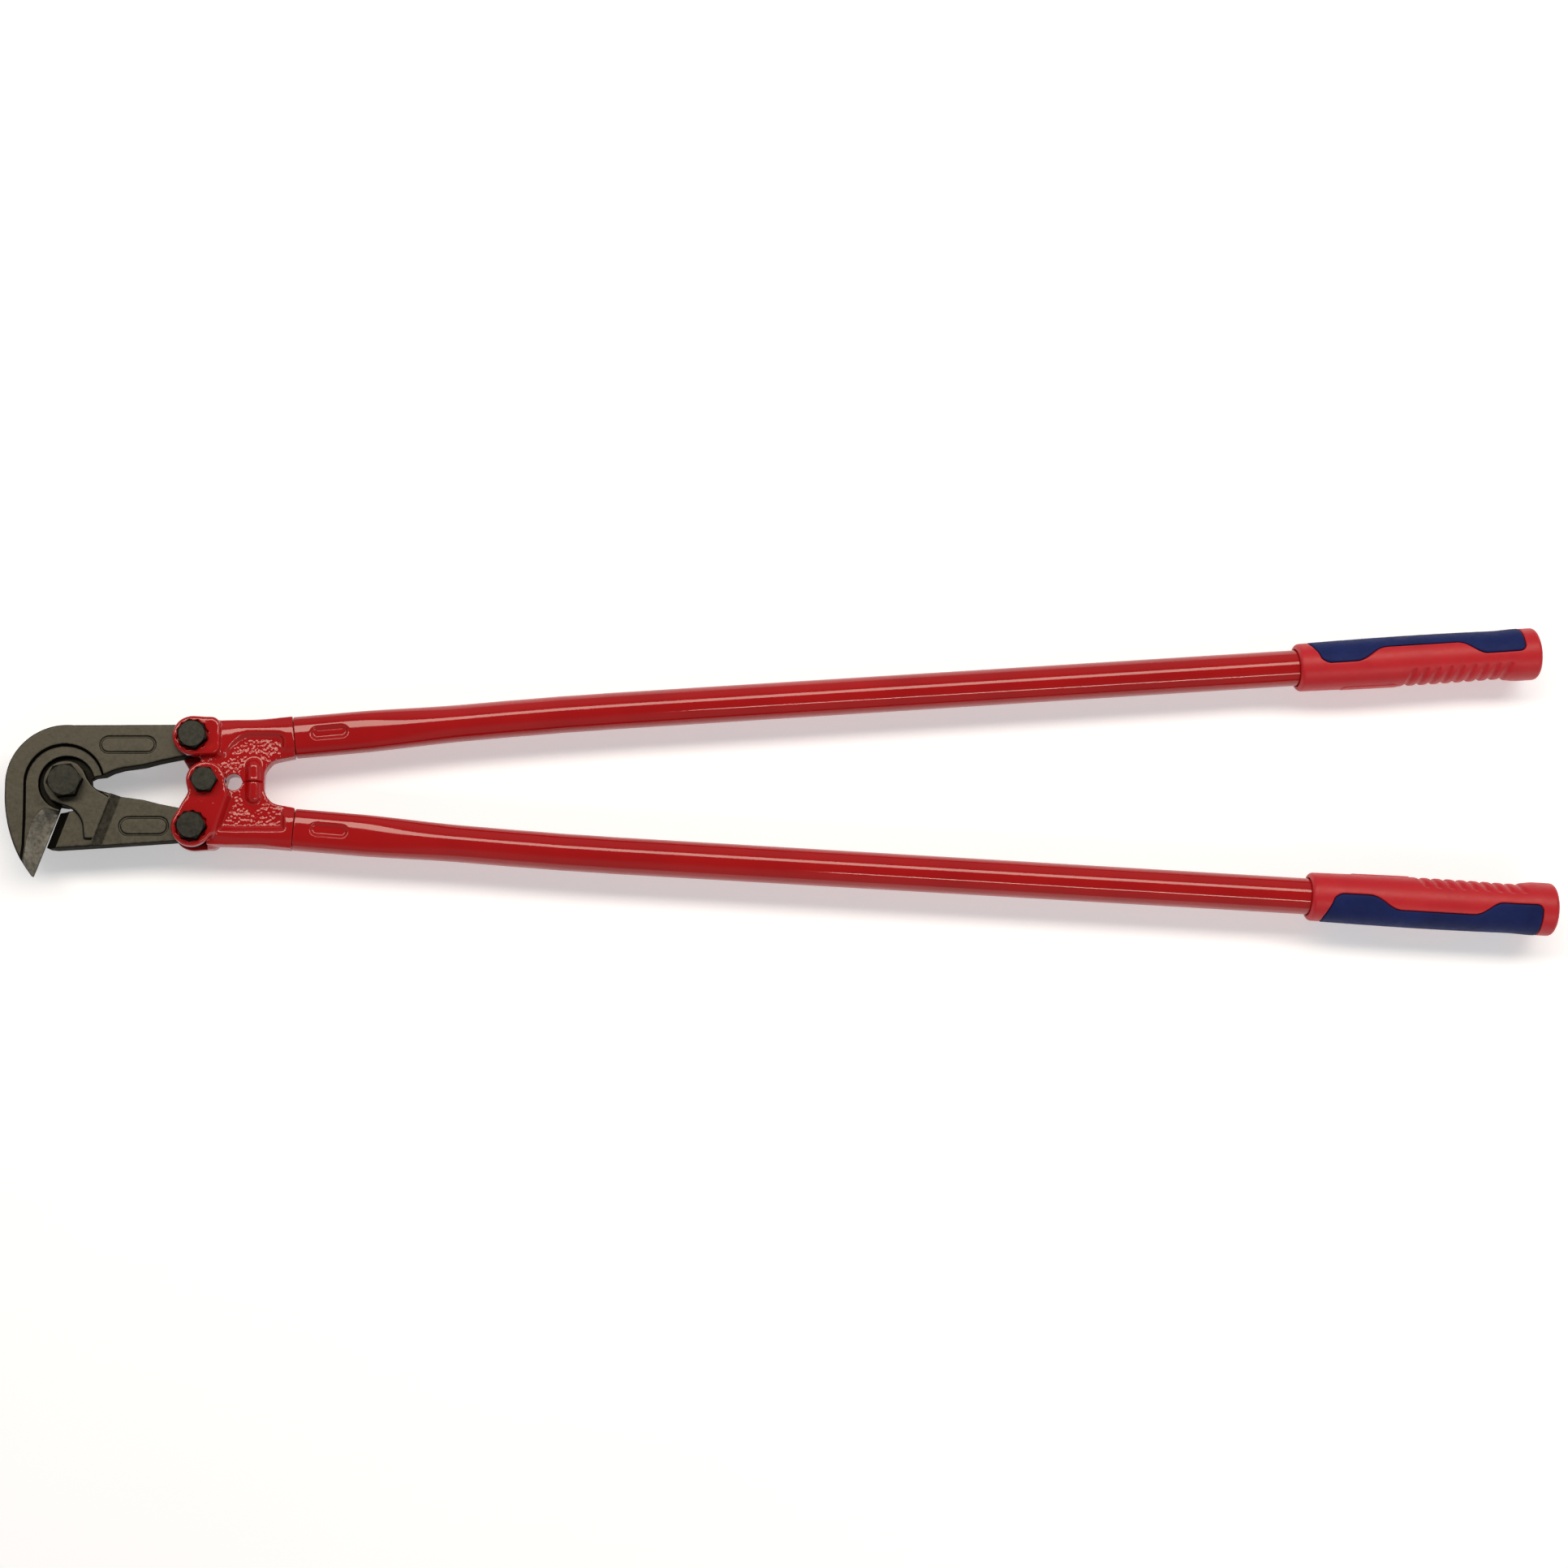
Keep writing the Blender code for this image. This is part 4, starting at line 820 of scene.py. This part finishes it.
def grip_radius(distance, inner):
    """Outer radius of the grip; inner is the angle from its inner side, where its end flares."""
    swell = np.sin(np.clip(distance / GRIP_WAIST, 0, 1) * 2.6)
    low = GRIP_FRONT_RADIUS + (GRIP_PALM_RADIUS - GRIP_FRONT_RADIUS) * swell
    share = np.clip((distance - GRIP_WAIST) / FLARE_LENGTH, 0, 1)
    flare = 0.65 + 0.35 * np.cos(inner)
    return low + (GRIP_END_RADIUS - low) * flare * share * share * (3 - 2 * share)


def soft_outline():
    """Outline of the soft inlay seen from the front, its two lobes joined by easy curves."""
    lobe = -0.9 * MM
    waist = 7.4 * MM
    top = 30 * MM
    end = GRIP_LENGTH - 11.0 * MM
    points = [(7.0 * MM, top), (8.6 * MM, 13.4 * MM), (12.6 * MM, 5.6 * MM)]
    points += arc((20.5 * MM, lobe + 9.0 * MM), 9.0 * MM, 220, 270, 8)
    steps = 12
    for start, finish, low, high in ((34 * MM, 58 * MM, lobe, waist), (101 * MM, 123 * MM, waist, lobe)):
        for step in range(steps + 1):
            share = step / steps
            rise = share ** 3 * (10 - 15 * share + 6 * share * share)
            points.append((start + (finish - start) * share, low + (high - low) * rise))
    points += arc((end - 4 * MM, lobe + 4 * MM), 4 * MM, -90, 0, 6)
    points.append((end + 0.6 * MM, top))
    return points


def ribs(distance, radius, out, inner):
    """Depth of the slanting grooves between the ribs on the grip's inner side."""
    phase = (distance - RIB_START - RIB_LEAN * (radius + out)) / RIB_PITCH
    wave = (0.5 + 0.5 * np.cos(2 * math.pi * (phase - 0.12 * np.sin(2 * math.pi * phase)))) ** 1.4
    reach = np.clip((RIB_HALF_TURN - np.abs(inner)) / 0.22, 0, 1)
    reach = reach * np.clip(phase * 4, 0, 1) * np.clip((RIB_COUNT - phase) * 4, 0, 1)
    return (1 - wave) * reach * reach * (3 - 2 * reach) * RIB_DEPTH


def grip_fields(grid):
    """The hard body and the soft inlay of a grip."""
    around = np.hypot(grid.y, grid.z)
    inner = np.arctan2(grid.z, -grid.y)
    skin_radius = grip_radius(grid.x, inner)
    outer = around - skin_radius
    zone = outline_field(grid.x, grid.y, soft_outline())
    outer = outer + ribs(grid.x, skin_radius, grid.y, inner)
    beyond = np.maximum(np.abs(grid.x - PANEL_PLACE) - PANEL_HALF_LENGTH, 0)
    panel = np.hypot(beyond, inner * skin_radius) - PANEL_HALF_WIDTH
    outer = outer - np.clip(-panel / (0.5 * MM), 0, 1) * PANEL_RISE
    ends = slab(grid.x, 0, GRIP_LENGTH)
    hard = both(outer, ends, 3.0 * MM)
    hollow = both(around - TUBE_RADIUS - GAP, grid.x - (GRIP_LENGTH - GRIP_END_WALL))
    hard = less(hard, hollow, 0.9 * MM)
    bed = both(zone - 0.25 * MM, skin_radius - INLAY_DEPTH - GAP - around)
    hard = less(hard, bed, 0.45 * MM)
    soft = both(zone + 0.1 * MM, outer - 0.1 * MM, 0.9 * MM)
    soft = both(soft, skin_radius - INLAY_DEPTH - around)
    hard = hard + (1 + lumps(grid, 6 * MM, SEED + 5)) * 0.04 * MM
    return hard, soft + lumps(grid, 3 * MM, SEED + 6) * 0.05 * MM


def make_grips():
    room = 18.5 * MM
    grid = Grid((-1 * MM, -room, -room), (GRIP_LENGTH + 1 * MM, room, room), GRIP_CELL)
    hard, soft = grip_fields(grid)
    start, slope = tube_point(FRONT_RUN + REAR_RUN)
    for label, side in (("upper", 1), ("lower", -1)):
        along = Vector((math.cos(slope), side * math.sin(slope), 0))
        out = Vector((-math.sin(slope), side * math.cos(slope), 0))
        turn = Matrix((along, out, (0, 0, 1))).transposed().to_4x4()
        place = Matrix.Translation(CENTRE + Vector((start.x, side * start.y, 0))) @ turn
        piece(label + "_grip_body", skin(label + "_grip_body", hard, grid), place, label + "_handle",
              "red_plastic", GRIP_RED, label + "_grip")
        piece(label + "_grip_pad", skin(label + "_grip_pad", soft, grid), place, label + "_handle",
              "blue_soft_plastic", GRIP_BLUE, label + "_grip_inlay")


# Fasteners keep the frame's shape, with a fine edge radius

FASTENER_EDGE = 0.35 * MM


def finish_fasteners():
    for name in frame["nodes"]:
        if any(word in name for word in ("bolt", "adjuster")):
            fastener = bpy.data.objects[name]
            fastener.data.materials.clear()
            fastener.data.materials.append(BOLT_STEEL)
            edge = fastener.modifiers.new("edge", "BEVEL")
            edge.width = FASTENER_EDGE
            edge.segments = 3
            edge.limit_method = "ANGLE"
            edge.angle_limit = math.radians(25)


# Floor, light and camera

FLOOR_REACH = 6.0
LAMP_COLOUR = (1.0, 0.90, 0.76)
CAMERA_PLACE = (-0.17957, -0.29416, 1.70542)
CAMERA_LEAN_X, CAMERA_LEAN_Y = -0.10016, -0.17105
CAMERA_ROLL = -0.01985
CAMERA_LENS = 64.05


def make_floor():
    finish, tree, shader = nodes_of("studio_floor")
    tint = ramp(tree, noise(tree, 3), (0.85, 0.88, 0.95), (0.88, 0.91, 0.97), 0.3, 0.7)
    tree.links.new(tint, shader.inputs["Base Color"])
    shader.inputs["Roughness"].default_value = 0.9
    shader.inputs["Emission Color"].default_value = (1, 1, 1, 1)
    shader.inputs["Emission Strength"].default_value = 0.32
    mesh = bpy.data.meshes.new("floor")
    corners = [(x * FLOOR_REACH, y * FLOOR_REACH, 0) for x, y in ((-1, -1), (1, -1), (1, 1), (-1, 1))]
    mesh.from_pydata(corners, [], [(0, 1, 2, 3)])
    mesh.materials.append(finish)
    floor = bpy.data.objects.new("floor", mesh)
    bpy.context.scene.collection.objects.link(floor)


def make_light(name, lean_degrees, distance, length, width, power, yaw_degrees=0):
    """Area light over the tool that shines at it from this lean towards the upper handle."""
    lamp = bpy.data.lights.new(name, "AREA")
    lamp.shape = "RECTANGLE"
    lamp.size = length
    lamp.size_y = width
    lamp.energy = power
    lamp.color = LAMP_COLOUR
    shown = bpy.data.objects.new(name, lamp)
    bpy.context.scene.collection.objects.link(shown)
    lean = math.radians(lean_degrees)
    yaw = math.radians(yaw_degrees)
    height = distance * math.cos(lean) * math.cos(yaw)
    shown.location = (distance * math.sin(yaw), distance * math.sin(lean), height)
    shown.rotation_euler = (-lean, yaw, 0)


def make_world(zenith, horizon):
    """Even grey studio, dim overhead and brighter towards the horizon."""
    world = bpy.data.worlds.new("studio")
    bpy.context.scene.world = world
    world.use_nodes = True
    tree = world.node_tree
    back = tree.nodes["Background"]
    where = tree.nodes.new("ShaderNodeTexCoord")
    parts = tree.nodes.new("ShaderNodeSeparateXYZ")
    change = tree.nodes.new("ShaderNodeMapRange")
    change.interpolation_type = "SMOOTHSTEP"
    change.inputs["From Min"].default_value = 0.55
    change.inputs["From Max"].default_value = 0.95
    change.inputs["To Min"].default_value = horizon
    change.inputs["To Max"].default_value = zenith
    tree.links.new(where.outputs["Generated"], parts.inputs["Vector"])
    tree.links.new(parts.outputs["Z"], change.inputs["Value"])
    tree.links.new(change.outputs["Result"], back.inputs["Strength"])
    back.inputs["Color"].default_value = (1, 1, 1, 1)


def make_camera():
    camera = bpy.data.cameras.new("camera")
    camera.lens = CAMERA_LENS
    camera.sensor_width = 36
    shown = bpy.data.objects.new("camera", camera)
    bpy.context.scene.collection.objects.link(shown)
    rise = math.sqrt(1 - CAMERA_LEAN_X ** 2 - CAMERA_LEAN_Y ** 2)
    towards = Vector((CAMERA_LEAN_X, CAMERA_LEAN_Y, rise))
    level = Vector((0, 1, 0)).cross(towards).normalized()
    upright = towards.cross(level)
    right = math.cos(CAMERA_ROLL) * level + math.sin(CAMERA_ROLL) * upright
    up = -math.sin(CAMERA_ROLL) * level + math.cos(CAMERA_ROLL) * upright
    turn = Matrix((right, up, towards)).transposed().to_4x4()
    shown.matrix_world = Matrix.Translation(CAMERA_PLACE) @ turn
    bpy.context.scene.camera = shown


make_levers()
make_jaws()
make_tube("upper", 1)
make_tube("lower", -1)
make_grips()
finish_fasteners()
make_floor()
make_world(zenith=0.12, horizon=0.34)
make_light("upper_strip", 23, distance=1.5, length=3.2, width=0.40, power=26)
make_light("lower_strip", -39, distance=1.5, length=1.3, width=0.07, power=4, yaw_degrees=28)
bpy.context.scene.view_settings.view_transform = "Standard"
make_camera()
